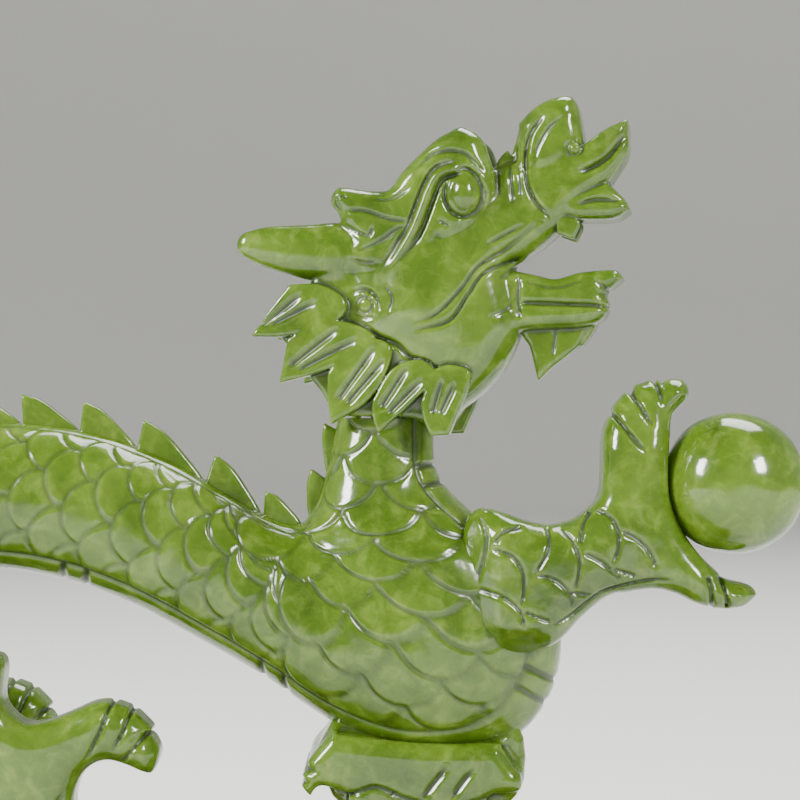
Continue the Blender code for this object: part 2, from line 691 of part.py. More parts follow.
def build():
    clear_scene()
    jade = make_material("jade", (0.24, 0.34, 0.09), 0.18)
    rosewood = make_material("rosewood", (0.10, 0.035, 0.018), 0.4)
    bamboo = make_material("bamboo", (0.55, 0.38, 0.18), 0.6)
    figurine = bpy.data.objects.new("figurine", None)
    stand = bpy.data.objects.new("stand", None)
    for empty in (figurine, stand):
        bpy.context.scene.collection.objects.link(empty)

    carved = [
        make_head(), make_front_body(), make_rear_body(), make_tail(),
        make_front_right_leg(), make_front_left_leg(),
        make_hind_leg("hind_right_leg", HIND_LEG, -1.0, 0.0),
        make_hind_leg("hind_left_leg", FAR_HIND_LEG, 1.0, FAR_CLAWS_SHIFT_X),
        make_pearl(), make_front_cloud(), make_rear_cloud(),
    ]
    finish(carved, jade, figurine)
    dowels = make_dowels()
    finish(dowels, bamboo, figurine)
    for dowel in dowels:
        if dowel.name == "neck_peg":
            set_origin(dowel, (HEAD_AXIS_X, 0.0, NECK_SEAT_Z))
    finish(make_stand(), rosewood, stand)


build()
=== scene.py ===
import json
import math

import bpy
import numpy as np
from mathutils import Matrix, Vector


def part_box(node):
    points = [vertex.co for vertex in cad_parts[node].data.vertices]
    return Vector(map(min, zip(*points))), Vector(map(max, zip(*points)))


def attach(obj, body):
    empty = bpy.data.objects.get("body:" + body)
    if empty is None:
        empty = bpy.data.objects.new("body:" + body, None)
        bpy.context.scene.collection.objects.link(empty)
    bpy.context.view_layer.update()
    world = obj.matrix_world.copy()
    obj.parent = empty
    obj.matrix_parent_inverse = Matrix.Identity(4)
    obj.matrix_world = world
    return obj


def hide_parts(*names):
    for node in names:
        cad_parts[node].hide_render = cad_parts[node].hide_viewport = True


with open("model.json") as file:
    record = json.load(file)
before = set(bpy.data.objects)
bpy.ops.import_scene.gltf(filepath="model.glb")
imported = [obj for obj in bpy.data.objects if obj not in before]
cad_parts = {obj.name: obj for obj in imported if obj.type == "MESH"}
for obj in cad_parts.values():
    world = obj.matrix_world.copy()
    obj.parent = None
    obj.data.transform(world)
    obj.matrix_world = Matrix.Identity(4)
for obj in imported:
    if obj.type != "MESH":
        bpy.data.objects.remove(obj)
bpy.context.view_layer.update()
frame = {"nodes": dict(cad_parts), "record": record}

# A jade dragon with a pearl in its raised hand, on a carved rosewood stand.
# Shapes are worked out in millimetres and moved to the frame through the seat of the head on the neck.
joints = {joint["name"]: joint for joint in frame["record"]["behaviour"]["joints"]}
seatPoint = np.array(joints["head_turn"]["pos_m"])
designSeat = np.array([60.25, 0.0, 155.5])
frameShift = seatPoint - designSeat * 0.001
headYaw = math.radians(-10.0)


def toFrame(points):
    return np.asarray(points, float) * 0.001 + frameShift


def nodeBox(node):
    # The corners of a CAD node, in this script's millimetres.
    low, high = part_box(node)
    return (np.array(low) - frameShift) * 1000.0, (np.array(high) - frameShift) * 1000.0


# ---- meshes ----

def buildMesh(name, points, faces, marks=None):
    # Puts whole arrays of points (mm) and triangles into one mesh, with an optional number per point, kept as
    # the cut attribute: the jade gets painted shade there and loses gloss.
    mesh = bpy.data.meshes.new(name)
    points = toFrame(points)
    faces = np.asarray(faces, np.int32)
    mesh.vertices.add(len(points))
    mesh.vertices.foreach_set("co", points.astype(np.float32).ravel())
    mesh.loops.add(faces.size)
    mesh.loops.foreach_set("vertex_index", faces.ravel())
    mesh.polygons.add(len(faces))
    mesh.polygons.foreach_set("loop_start", np.arange(0, faces.size, faces.shape[1], dtype=np.int32))
    mesh.update(calc_edges=True)
    if marks is not None:
        # The cut attribute tells the jade where to paint shade and dull the gloss.
        layer = mesh.attributes.new("cut", "FLOAT", "POINT")
        layer.data.foreach_set("value", np.asarray(marks, np.float32))
    mesh.shade_smooth()
    mesh.validate()
    piece = bpy.data.objects.new(name, mesh)
    bpy.context.scene.collection.objects.link(piece)
    return piece


def curveThrough(points, count, closed=False):
    # Catmull-Rom: between two points the curve leaves and arrives along the lines that join their neighbours.
    rows = np.asarray(points, float)
    if closed:
        padded = np.vstack([rows[-1], rows, rows[0], rows[1]])
        spans = len(rows)
    else:
        padded = np.vstack([2 * rows[0] - rows[1], rows, 2 * rows[-1] - rows[-2]])
        spans = len(rows) - 1
    place = np.linspace(0, spans, count, endpoint=not closed)
    return curveAt(padded, place, spans)


def curveAt(padded, place, spans):
    index = np.clip(np.floor(place).astype(int), 0, spans - 1)
    t = (place - index)[:, None]
    a, b, c, d = (padded[index + k] for k in range(4))
    # 0.5 (2b + (c - a) t + (2a - 5b + 4c - d) t2 + (3b - a - 3c + d) t3), with t from 0 at b to 1 at c.
    squared = (2 * a - 5 * b + 4 * c - d) * t ** 2
    cubed = (3 * b - a - 3 * c + d) * t ** 3
    return 0.5 * (2 * b + (c - a) * t + squared + cubed)


def ringFaces(rows, around, firstCap=None, lastCap=None):
    # Quads between neighbouring rings, written as pairs of triangles, and fans to a cap point at each end.
    row = np.arange(rows - 1)[:, None] * around
    side = np.arange(around)[None, :]
    following = (side + 1) % around
    a, b = row + side, row + following
    c, d = b + around, a + around
    faces = [np.stack([a, b, c], -1).reshape(-1, 3), np.stack([a, c, d], -1).reshape(-1, 3)]
    side = side.ravel()
    following = following.ravel()
    if firstCap is not None:
        faces.append(np.stack([following, side, np.full(around, firstCap)], -1))
    if lastCap is not None:
        last = (rows - 1) * around
        faces.append(np.stack([last + side, last + following, np.full(around, lastCap)], -1))
    return np.vstack(faces)


def outward(piece):
    # Turns every face outwards, by the sign of the enclosed volume.
    mesh = piece.data
    points = np.empty(len(mesh.vertices) * 3, np.float32)
    mesh.vertices.foreach_get("co", points)
    points = points.reshape(-1, 3).astype(float)
    mesh.calc_loop_triangles()
    corners = np.empty(len(mesh.loop_triangles) * 3, np.int32)
    mesh.loop_triangles.foreach_get("vertices", corners)
    a, b, c = (points[corners.reshape(-1, 3)[:, k]] for k in range(3))
    if np.einsum("ij,ij->i", a, np.cross(b, c)).sum() < 0:
        mesh.flip_normals()
    return piece


# ---- the long body ----
# Rows: back point x, z, belly point x, z, half width. One smooth run from the neck to the tip of the tail.
bodyRows = np.array([
    (48.5, 155.5, 72.0, 155.5, 11.0), (45.75, 142.5, 72.5, 144.0, 12.0), (43.5, 135.0, 75.75, 137.75, 13.5),
    (41.0, 131.0, 84.0, 130.0, 16.0), (40.0, 129.75, 100.25, 116.25, 19.5),
    (39.0, 129.25, 104.0, 100.0, 21.0),
    (38.25, 129.0, 100.25, 85.0, 21.5), (37.25, 129.0, 89.0, 74.5, 21.5), (36.0, 129.25, 69.0, 72.5, 21.0),
    (34.0, 129.75, 49.0, 79.5, 20.5), (29.5, 131.75, 31.0, 91.25, 19.5), (20.25, 137.0, 14.0, 101.0, 18.5),
    (7.75, 144.25, -2.25, 109.5, 17.5), (-8.5, 150.75, -18.5, 115.5, 17.0),
    (-26.0, 154.0, -34.75, 118.25, 17.0),
    (-43.5, 153.75, -48.5, 117.5, 17.0), (-60.0, 150.0, -58.0, 112.5, 17.5),
    (-75.5, 142.5, -67.25, 105.0, 18.0),
    (-91.0, 131.25, -76.0, 96.25, 18.0), (-103.5, 116.25, -87.25, 87.5, 17.0),
    (-110.5, 108.0, -99.0, 81.0, 15.0),
    (-116.0, 104.0, -112.0, 78.5, 13.5), (-121.0, 103.5, -125.5, 80.5, 12.0),
    (-126.0, 105.5, -137.5, 87.0, 10.5),
    (-129.5, 111.0, -146.0, 99.5, 9.0), (-132.5, 119.0, -151.5, 114.0, 8.0),
    (-135.0, 129.0, -153.0, 128.5, 7.0),
    (-137.0, 139.0, -152.5, 142.0, 6.0), (-137.0, 149.0, -150.5, 153.0, 5.0),
    (-134.5, 160.0, -146.5, 163.0, 4.5),
    (-133.5, 170.0, -143.5, 171.0, 4.0),
])
bodyLook = {
    "frontRows": 430, "rearRows": 190, "tailRows": 230, "around": 230,
    "grooveDepth": 0.6, "grooveHalfWidth": 0.75, "scaleSwell": 0.38,
    "neckPitch": 6.3, "neckColumn": 17.5, "neckRadius": 9.0,
    "archPitch": 6.6, "archColumn": 15.0, "archRadius": 8.0,
    "bandAt": -0.72, "crestAt": 0.945, "bandCutDepth": 1.1,
}
bodyPadded = np.vstack([2 * bodyRows[0] - bodyRows[1], bodyRows, 2 * bodyRows[-1] - bodyRows[-2]])


def bodyAt(place):
    # Cross-section at a place along the body: middle x, z, unit vector to the back, half height, half width.
    rows = curveAt(bodyPadded, np.asarray(place, float), len(bodyRows) - 1)
    middle = (rows[:, 0:2] + rows[:, 2:4]) / 2
    reach = (rows[:, 0:2] - rows[:, 2:4]) / 2
    half = np.linalg.norm(reach, axis=1)
    return middle, reach / half[:, None], half, rows[:, 4]


def evenPlaces(start, end, count):
    # Places whose rings are equally far apart, measured halfway between the middle line and the belly.
    place = np.linspace(start, end, 1500)
    middle, up, half, _ = bodyAt(place)
    line = middle - up * (half * 0.5)[:, None]
    length = np.concatenate([[0], np.cumsum(np.linalg.norm(np.diff(line, axis=0), axis=1))])
    return np.interp(np.linspace(0, length[-1], count), length, place)


def scaleSeats():
    # Where each scale's round disc sits on the unrolled flank, listed from the head to the tail.
    look = bodyLook
    seats = []
    for row in range(15):
        tip = 152.3 - look["neckPitch"] * row
        for column in range(-3, 5):
            x = 59.5 + look["neckColumn"] * (column + 0.5 * (row % 2)) + (row - 4) * 0.55
            wobble = 0.5 * math.sin(7.1 * row + 3.3 * column)
            seats.append((x + wobble, tip + look["neckRadius"] - 0.4 * wobble, look["neckRadius"], 1))
    place = np.linspace(8.4, len(bodyRows) - 1.3, 900)
    middle, up, half, width = bodyAt(place)
    girth = math.pi / 4 * (half + width)
    size = np.clip(girth / 28.5, 0.16, 1.0)
    step = np.linalg.norm(np.diff(middle, axis=0), axis=1)
    rowNumber = np.concatenate([[0], np.cumsum(step / (look["archPitch"] * size[:-1]))])
    for row in range(int(rowNumber[-1])):
        k = int(np.searchsorted(rowNumber, row))
        for column in range(-2, 3):
            across = look["archColumn"] * size[k] * (column + 0.5 * (row % 2))
            wobble = 0.35 * math.sin(5.7 * row + 2.9 * column) * size[k]
            centre = middle[k] + up[k] * (across + wobble)
            seats.append((centre[0], centre[1], look["archRadius"] * size[k], 2))
    return seats


def scaleRelief(flankX, flankZ, chest):
    # A scale covers the part of its disc that no scale nearer the head covers. Its face swells towards
    # its free edge, and a groove follows that edge. chest says where the neck's and chest's rows may lie.
    rise = np.full(flankX.shape, 0.0)
    edge = np.full(flankX.shape, 99.0)
    free = np.ones(flankX.shape, bool)
    for x, z, radius, kind in scaleSeats():
        if kind == 1 and not chest(x, z):
            continue
        near = (np.abs(flankX - x) < radius + 3) & (np.abs(flankZ - z) < radius + 3) & free
        if not near.any():
            continue
        away = np.hypot(flankX[near] - x, flankZ[near] - z)
        edge[near] = np.minimum(edge[near], np.abs(radius - away))
        inside = away < radius
        spot = np.flatnonzero(near.ravel())[inside]
        depth = (radius - away[inside]) / radius
        rise.ravel()[spot] = 1.0 - np.clip(depth * 1.5, 0, 1)
        free.ravel()[spot] = False
    return rise, edge


def soften(values):
    # Each point becomes a quarter of both neighbours and half of itself, along the body and then round it.
    ends = np.vstack([values[:1], values, values[-1:]])
    values = (ends[:-2] + 2 * ends[1:-1] + ends[2:]) / 4
    return (np.roll(values, 1, 1) + 2 * values + np.roll(values, -1, 1)) / 4


def chestSide(x, z):
    # True on the head's side of the slanting line from the back's hollow to the underside.
    middle, up, _, _ = bodyAt([8.9])
    ahead = np.array([up[0][1], -up[0][0]])
    return (x - middle[0][0]) * ahead[0] + (z - middle[0][1]) * ahead[1] > -1.0


bandCuts = [1.0, 1.7, 5.6, 6.0, 9.7, 10.03, 12.7, 13.05, 15.6, 15.95, 18.2, 18.6, 20.6, 21.0, 23.4, 24.4,
            25.4, 26.4]


def makeBodyPiece(name, start, end, rows, around):
    # An oval section carried from the back to the belly, moved along its normal by the scale relief.
    look = bodyLook
    place = evenPlaces(start, end, rows)
    middle, up, half, width = bodyAt(place)
    angle = 2 * math.pi * np.arange(around) / around
    cos, sin = np.cos(angle)[None, :], np.sin(angle)[None, :]
    turn = np.arctan2(np.abs(sin), cos)
    along = np.sign(cos) * np.abs(cos) ** 0.94
    across = np.sign(sin) * np.abs(sin) ** 0.90
    flat = middle[:, None, :] + up[:, None, :] * (half[:, None] * along)[..., None]
    points = np.stack([flat[..., 0], width[:, None] * across, flat[..., 1]], -1)
    arc = (math.pi / 2 - turn) * ((half + width) / 2)[:, None]
    unrolled = middle[:, None, :] + up[:, None, :] * arc[..., None]
    rise, edge = scaleRelief(unrolled[..., 0], unrolled[..., 1], chestSide)
    neckward = np.clip(1 - place / 3.0, 0, 1)[:, None]
    bandAt = look["bandAt"] + 0.13 * neckward
    bandMm = (cos - bandAt) * half[:, None]
    crestMm = (cos - look["crestAt"]) * half[:, None] * 2.2
    flank = np.clip(bandMm / 1.2, 0, 1) * np.clip(-crestMm / 1.2, 0, 1)
    sizeFade = np.clip(half / 12.0, 0.35, 1.0)[:, None]
    wide = look["grooveHalfWidth"] * sizeFade
    groove = np.clip(1 - edge / wide, 0, 1) ** 1.3 * flank
    line = np.maximum(np.clip(1 - np.abs(bandMm) / wide, 0, 1),
                      0.7 * np.clip(1 - np.abs(crestMm) / wide, 0, 1))
    cut = np.zeros_like(groove)
    length = np.concatenate([[0], np.cumsum(np.linalg.norm(np.diff(middle - up * half[:, None], axis=0),
                                                           axis=1))])
    for at in bandCuts:
        gap = np.abs(length - np.interp(at, place, length)) if start <= at <= end else None
        if gap is not None:
            cut = np.maximum(cut, np.clip(1 - gap / 0.9, 0, 1)[:, None] * (bandMm < 0.3))
    deep = np.maximum(np.maximum(groove, line), cut * look["bandCutDepth"] / look["grooveDepth"])
    deep = soften(deep)
    lift = look["scaleSwell"] * soften(rise) * flank * sizeFade - look["grooveDepth"] * deep * sizeFade
    lift += np.where(bandMm < 0, 0.25, 0.0) * np.clip(-bandMm / 1.5, 0, 1)
    lift = lift * np.clip((place[-1] - place) / 0.02, 0, 1)[:, None]
    rowStep = np.gradient(points, axis=0)
    sideStep = (np.roll(points, -1, 1) - np.roll(points, 1, 1)) / 2
    normal = np.cross(rowStep, sideStep)
    normal /= np.linalg.norm(normal, axis=-1, keepdims=True) + 1e-12
    middle3 = np.stack([middle[:, 0], np.zeros(rows), middle[:, 1]], -1)[:, None, :]
    if np.einsum("ijk,ijk->", normal, points - middle3) < 0:
        normal = -normal
    points = points + normal * lift[..., None]
    count = rows * around
    caps = np.stack([points[0].mean(0), points[-1].mean(0)])
    # The groove depth is also the mark that paints shade into the grooves and dulls their gloss.
    marks = np.concatenate([deep.ravel(), [0.0, 0.0]])
    faces = ringFaces(rows, around, count, count + 1)
    piece = outward(buildMesh(name, np.vstack([points.reshape(-1, 3), caps]), faces, marks))
    piece.data.set_sharp_from_angle(angle=math.radians(65))
    return piece


# ---- materials ----

def toLinear(hexText):
    # sRGB hex to linear red, green, blue and alpha.
    parts = [int(hexText[k:k + 2], 16) / 255 for k in (1, 3, 5)]
    return tuple(v / 12.92 if v <= 0.04045 else ((v + 0.055) / 1.055) ** 2.4 for v in parts) + (1.0,)


def addNode(tree, kind, settings=None, links=None):
    # One node: settings are its own properties, or numbers for its sockets; links are what feeds its sockets.
    node = tree.nodes.new(kind)
    for key, value in (settings or {}).items():
        if isinstance(key, str) and hasattr(node, key):
            setattr(node, key, value)
        else:
            node.inputs[key].default_value = value
    for key, source in (links or {}).items():
        tree.links.new(source, node.inputs[key])
    return node


def newMaterial(name):
    material = bpy.data.materials.new(name)
    material.use_nodes = True
    tree = material.node_tree
    tree.nodes.clear()
    return material, tree


def ramp(tree, source, stops):
    node = addNode(tree, "ShaderNodeValToRGB", {}, {"Fac": source})
    points = node.color_ramp.elements
    while len(points) < len(stops):
        points.new(0.5)
    for point, (place, colour) in zip(points, stops):
        point.position = place
        point.color = toLinear(colour)
    return node


jadeLook = {
    "deep": "#2c430a", "body": "#456012", "pale": "#597322", "cloud": "#7d9140", "hollowShadeColour": "#122204",
    "cloudMm": 26.0, "mottleMm": 5.0, "fibreMm": 9.0, "roughness": 0.13, "rippleMm": 6.0,
}


def makeJade(name, tint=0.0):
    # Serpentine jade, wheel-carved and polished to gloss: light enters it and comes out yellow-green, cloudy
    # drifts and fine mottling lie under the surface, and the unpolished cuts stay dull. Cuts and hollows also
    # get painted shade: a dark green mixed into their colour.
    look = jadeLook
    material, tree = newMaterial(name)
    place = addNode(tree, "ShaderNodeTexCoord").outputs["Object"]
    moved = addNode(tree, "ShaderNodeMapping", {"Location": (tint, 0.7 * tint, 0.0)}, {"Vector": place})
    vector = moved.outputs["Vector"]
    drift = addNode(tree, "ShaderNodeTexNoise",
                    {"Scale": 1000 / look["cloudMm"], "Detail": 4.0, "Roughness": 0.55,
                                                 "Distortion": 0.9}, {"Vector": vector})
    mottle = addNode(tree, "ShaderNodeTexNoise", {"Scale": 1000 / look["mottleMm"], "Detail": 5.0,
                                                  "Roughness": 0.62, "Distortion": 0.6}, {"Vector": vector})
    fibre = addNode(tree, "ShaderNodeTexNoise",
                    {"Scale": 1000 / look["fibreMm"], "Detail": 3.0, "Roughness": 0.5,
                                                 "Distortion": 2.2}, {"Vector": vector})
    drifts = ramp(tree, drift.outputs["Fac"],
                  [(0.30, look["deep"]), (0.50, look["body"]), (0.66, look["pale"])])
    mottles = ramp(tree, mottle.outputs["Fac"],
                   [(0.32, look["deep"]), (0.50, look["body"]), (0.70, look["cloud"])])
    mixed = addNode(tree, "ShaderNodeMix", {"data_type": "RGBA", 0: 0.34},
                    {6: drifts.outputs["Color"], 7: mottles.outputs["Color"]})
    thread = addNode(tree, "ShaderNodeMath", {"operation": "SUBTRACT", 1: 0.5}, {0: fibre.outputs["Fac"]})
    thread = addNode(tree, "ShaderNodeMath", {"operation": "ABSOLUTE"}, {0: thread.outputs[0]})
    thread = addNode(tree, "ShaderNodeMapRange",
                     {"From Min": 0.0, "From Max": 0.035, "To Min": 0.08, "To Max": 0.0},
                     {"Value": thread.outputs[0]})
    veined = addNode(tree, "ShaderNodeMix", {"data_type": "RGBA", 7: toLinear(look["cloud"])},
                     {0: thread.outputs[0], 6: mixed.outputs[2]})
    # The cut mark mixes the dark green into the colour: painted shade in grooves and hollows. It also raises
    # the roughness.
    cut = addNode(tree, "ShaderNodeAttribute", {"attribute_name": "cut"}).outputs["Fac"]
    shade = addNode(tree, "ShaderNodeMapRange",
                    {"From Min": 0.05, "From Max": 0.9, "To Min": 0.0, "To Max": 0.8},
                    {"Value": cut})
    coloured = addNode(tree, "ShaderNodeMix", {"data_type": "RGBA", 7: toLinear(look["hollowShadeColour"])},
                       {0: shade.outputs[0], 6: veined.outputs[2]})
    gloss = addNode(tree, "ShaderNodeMapRange",
                    {"From Min": 0.1, "From Max": 0.8, "To Min": look["roughness"],
                                                 "To Max": 0.42}, {"Value": cut})
    ripple = addNode(tree, "ShaderNodeTexNoise",
                     {"Scale": 1000 / look["rippleMm"], "Detail": 2.0, "Roughness": 0.45},
                     {"Vector": vector})
    bump = addNode(tree, "ShaderNodeBump", {"Strength": 0.5, "Distance": 0.0004},
                   {"Height": ripple.outputs["Fac"]})
    shader = addNode(tree, "ShaderNodeBsdfPrincipled",
                     {"IOR": 1.56, "Subsurface Weight": 0.45, "Subsurface Scale": 0.004,
                      "Subsurface Radius": (0.9, 1.0, 0.35), "Specular IOR Level": 0.5},
                     {"Base Color": coloured.outputs[2], "Roughness": gloss.outputs[0],
                      "Normal": bump.outputs[0]})
    addNode(tree, "ShaderNodeOutputMaterial", {}, {"Surface": shader.outputs[0]})
    return material


# ---- carving ----
# A carved piece starts as a block of numbers on a regular grid: the distance to the stone, negative inside.
# Outlines are closed runs of x, z points. A third number 1 marks a sharp corner; the rest are rounded.

def smoothOutline(points, per=6):
    # Rounded runs between the sharp corners, each a Catmull-Rom curve.
    rows = [tuple(p) + ((0,) if len(p) == 2 else ()) for p in points]
    sharp = [k for k, p in enumerate(rows) if p[2]]
    flat = np.array([p[:2] for p in rows], float)
    if not sharp:
        return curveThrough(flat, per * len(flat), closed=True)
    runs = []
    for number, start in enumerate(sharp):
        end = sharp[(number + 1) % len(sharp)]
        span = (end - start) % len(rows) or len(rows)
        run = flat[[(start + k) % len(rows) for k in range(span + 1)]]
        runs.append(run[:-1] if len(run) == 2 else curveThrough(run, per * span + 1)[:-1])
    return np.vstack(runs)


def toLine(x, z, a, b):
    # Distance from each grid point to the stretch a-b, and how far along it the nearest point lies, 0 to 1.
    run = b - a
    t = np.clip(((x - a[0]) * run[0] + (z - a[1]) * run[1]) / (run @ run + 1e-9), 0, 1)
    return np.hypot(x - a[0] - t * run[0], z - a[1] - t * run[1]), t


def outlineDistance(x, z, outline):
    # Distance to the closed outline, negative inside it: crossings of a ray to +x give the sign.
    away = np.full(x.shape, 1e9)
    inside = np.zeros(x.shape, bool)
    for a, b in zip(outline, np.roll(outline, -1, 0)):
        away = np.minimum(away, toLine(x, z, a, b)[0])
        if a[1] != b[1]:
            crosses = ((a[1] > z) != (b[1] > z)) & (x < (b[0] - a[0]) * (z - a[1]) / (b[1] - a[1]) + a[0])
            inside ^= crosses
    return np.where(inside, -away, away)


def strokeField(x, z, strokes):
    # The wheel's cuts: each is a line with half width and depth (negative depth is a raised rib), which
    # fade at their ends. The value at a point is the deepest cut there, plus the highest rib.
    cut = np.zeros(x.shape)
    rib = np.zeros(x.shape)
    for points, wide, depth, *fade in strokes:
        line = curveThrough(points, 5 * len(points)) if len(points) > 2 else np.array(points, float)
        total = len(line) - 1
        low, high = line.min(0) - wide, line.max(0) + wide
        i = np.flatnonzero((x[:, 0] > low[0]) & (x[:, 0] < high[0]))
        j = np.flatnonzero((z[0] > low[1]) & (z[0] < high[1]))
        if not len(i) or not len(j):
            continue
        window = np.s_[i[0]:i[-1] + 1, j[0]:j[-1] + 1]
        best = np.zeros(x[window].shape)
        startFade, endFade = fade[0] if fade else (0.25, 0.25)
        for k in range(total):
            away, t = toLine(x[window], z[window], line[k], line[k + 1])
            place = (k + t) / total
            ease = np.clip(np.minimum((place + 0.02) / max(startFade, 1e-3),
                                      (1.02 - place) / max(endFade, 1e-3)), 0, 1)
            best = np.maximum(best, np.clip(1 - away / wide, 0, 1) ** 1.2 * ease ** 0.7)
        if depth > 0:
            cut[window] = np.maximum(cut[window], best * depth)
        else:
            rib[window] = np.maximum(rib[window], np.sin(best * math.pi / 2) * -depth)
    return cut, rib


class Block:
    # The grid: x and z spread over two dimensions, y over the third, and the running distance with its cuts.
    def __init__(self, low, high, step):
        self.low, self.step = np.array(low, float), step
        x, y, z = (np.arange(low[k], high[k] + step, step) for k in range(3))
        self.x, self.z = np.meshgrid(x, z, indexing="ij")
        self.y = y
        self.field = np.full((len(x), len(z), len(y)), 9.0, np.float32)

    def window(self, low, high):
        # The part of the grid between two corners in x, z.
        i0, j0 = (max(int((low[k] - self.low[2 * k]) / self.step), 0) for k in (0, 1))
        i1, j1 = (int((high[k] - self.low[2 * k]) / self.step) + 2 for k in (0, 1))
        return np.s_[i0:max(i1, i0 + 1), j0:max(j1, j0 + 1)]

    def join(self, window, shape, blend):
        # Smooth union: where two shapes are closer than the blend they flow into one another.
        old = self.field[window]
        gap = np.clip(blend - np.abs(old - shape), 0, None)
        self.field[window] = np.minimum(old, shape) - gap * gap / (4 * blend + 1e-9)

    def plate(self, outline, middle, half, edge, strokes=(), blend=1.0, both=False, swell=None, lean=0.0):
        # An outline with thickness along y and rounded edges. half may be a function of x, z; strokes cut or
        # raise its skin; both puts a copy at -middle; lean moves the middle by x.
        outline = smoothOutline(outline)
        grow = 2.5
        window = self.window(outline.min(0) - grow, outline.max(0) + grow)
        x, z = self.x[window], self.z[window]
        flat = outlineDistance(x, z, outline)
        thick = half(x, z) if callable(half) else np.full(x.shape, float(half))
        if swell:
            thick = thick + swell * (1 - np.exp(np.minimum(flat, 0) / (3.0 * abs(swell) + 1.0)))
        cut, rib = strokeField(x, z, strokes)
        edge = np.minimum(edge, thick * 0.98)
        for sign in ((-1, 1) if both else (1,)):
            y = np.abs(self.y[None, None, :] - (sign * (middle + lean * x))[..., None])
            p = (flat + edge)[..., None]
            q = y - (thick - edge)[..., None]
            shape = np.hypot(np.maximum(p, 0), np.maximum(q, 0)) + np.minimum(np.maximum(p, q),
                                                                              0) - edge[..., None]
            self.join(window, (shape + (cut - rib)[..., None]).astype(np.float32), blend)

    def limb(self, rows, blend=1.0, squash=1.0):
        # A run of balls x, y, z, radius with smooth sides; squash is their width along y over their height.
        rows = curveThrough(rows, 5 * len(rows))
        reach = rows[:, 3].max() + 2.0
        window = self.window(rows[:, [0, 2]].min(0) - reach, rows[:, [0, 2]].max(0) + reach)
        x, z = self.x[window][..., None], self.z[window][..., None]
        y = self.y[None, None, :]
        best = np.full(self.field[window].shape, 9.0, np.float32)
        for a, b in zip(rows[:-1], rows[1:]):
            run = (b - a)[:3]
            t = ((x - a[0]) * run[0] + (y - a[1]) * run[1] / squash ** 2 + (z - a[2]) * run[2])
            t = np.clip(t / (run[0] ** 2 + (run[1] / squash) ** 2 + run[2] ** 2 + 1e-9), 0, 1)
            away = np.sqrt((x - a[0] - t * run[0]) ** 2 + ((y - a[1] - t * run[1]) / squash) ** 2
                           + (z - a[2] - t * run[2]) ** 2)
            best = np.minimum(best, (away - a[3] - t * (b[3] - a[3])).astype(np.float32))
        self.join(window, best * min(squash, 1.0), blend)

    def oval(self, centre, radii, blend=0.6, both=False, remove=False):
        # An ellipsoid, added or hollowed out; both repeats it at -y.
        reach = max(radii) + 2.0
        c = np.array(centre, float)
        window = self.window(c[[0, 2]] - reach, c[[0, 2]] + reach)
        x, z = self.x[window][..., None], self.z[window][..., None]
        for sign in ((-1, 1) if both else (1,)):
            y = self.y[None, None, :] - sign * c[1]
            q = np.sqrt(((x - c[0]) / radii[0]) ** 2 + (y / radii[1]) ** 2 + ((z - c[2]) / radii[2]) ** 2)
            shape = ((q - 1) * min(radii)).astype(np.float32)
            if remove:
                old = self.field[window]
                gap = np.clip(blend - np.abs(old + shape), 0, None)
                self.field[window] = np.maximum(old, -shape) + gap * gap / (4 * blend + 1e-9)
            else:
                self.join(window, shape, blend)

    def carve(self, strokes, where=None):
        # Cuts or ribs across everything so far. where limits them to some y, as a function giving 0 to 1.
        cut, rib = strokeField(self.x, self.z, strokes)
        share = 1.0 if where is None else where(self.y)[None, None, :]
        self.field += ((cut - rib)[..., None] * share).astype(np.float32)

    def spread(self):
        # x, y and z over the whole grid, ready to be worked with together.
        return self.x[..., None], self.y[None, None, :], self.z[..., None]

    def cutBelow(self, level):
        # Cuts away everything under a level.
        _, y, z = self.spread()
        self.keepOut(z + 0 * y - level)

    def keepOut(self, away):
        # Cuts away a shape given by its own distance over the grid.
        self.field = np.maximum(self.field, -away.astype(np.float32))

    def surface(self, name, turn=None):
        # One point in each cell that the skin crosses, at the mean of its edge crossings, moved onto the skin
        # along the slope; quads join the four cells round each crossed edge.
        field = self.field
        field[[0, -1]] = 5.0
        field[:, [0, -1]] = 5.0
        field[:, :, [0, -1]] = 5.0
        inside = field < 0
        cells = tuple(n - 1 for n in field.shape)
        full = np.ones(cells, bool)
        some = np.zeros(cells, bool)
        for dx in (0, 1):
            for dz in (0, 1):
                for dy in (0, 1):
                    corner = inside[dx:dx + cells[0], dz:dz + cells[1], dy:dy + cells[2]]
                    full &= corner
                    some |= corner
        spots = np.argwhere(some & ~full)
        number = np.full(cells, -1, np.int64)
        number[tuple(spots.T)] = np.arange(len(spots))
        total = np.zeros((len(spots), 3))
        hits = np.zeros(len(spots))
        for axis in range(3):
            others = [k for k in range(3) if k != axis]
            for u in (0, 1):
                for v in (0, 1):
                    start = spots.copy()
                    start[:, others[0]] += u
                    start[:, others[1]] += v
                    end = start.copy()
                    end[:, axis] += 1
                    a, b = field[tuple(start.T)], field[tuple(end.T)]
                    crossed = (a < 0) != (b < 0)
                    t = np.where(crossed, a / np.where(a == b, 1, a - b), 0)
                    spot = start + 0.0
                    spot[:, axis] += t
                    total += spot * crossed[:, None]
                    hits += crossed
        points = total / hits[:, None]
        for _ in range(2):
            value, slope = self.sample(points)
            size = (slope ** 2).sum(1)
            move = np.clip(value / np.maximum(size, 0.02), -0.5, 0.5)[:, None] * slope
            points = points - np.clip(move, -0.35, 0.35)
        faces = []
        for axis in range(3):
            others = [k for k in range(3) if k != axis]
            low = [slice(None)] * 3
            high = [slice(None)] * 3
            low[axis], high[axis] = slice(0, -1), slice(1, None)
            a, b = inside[tuple(low)], inside[tuple(high)]
            edges = np.argwhere(a != b)
            edges = edges[(edges[:, others[0]] > 0) & (edges[:, others[1]] > 0)]
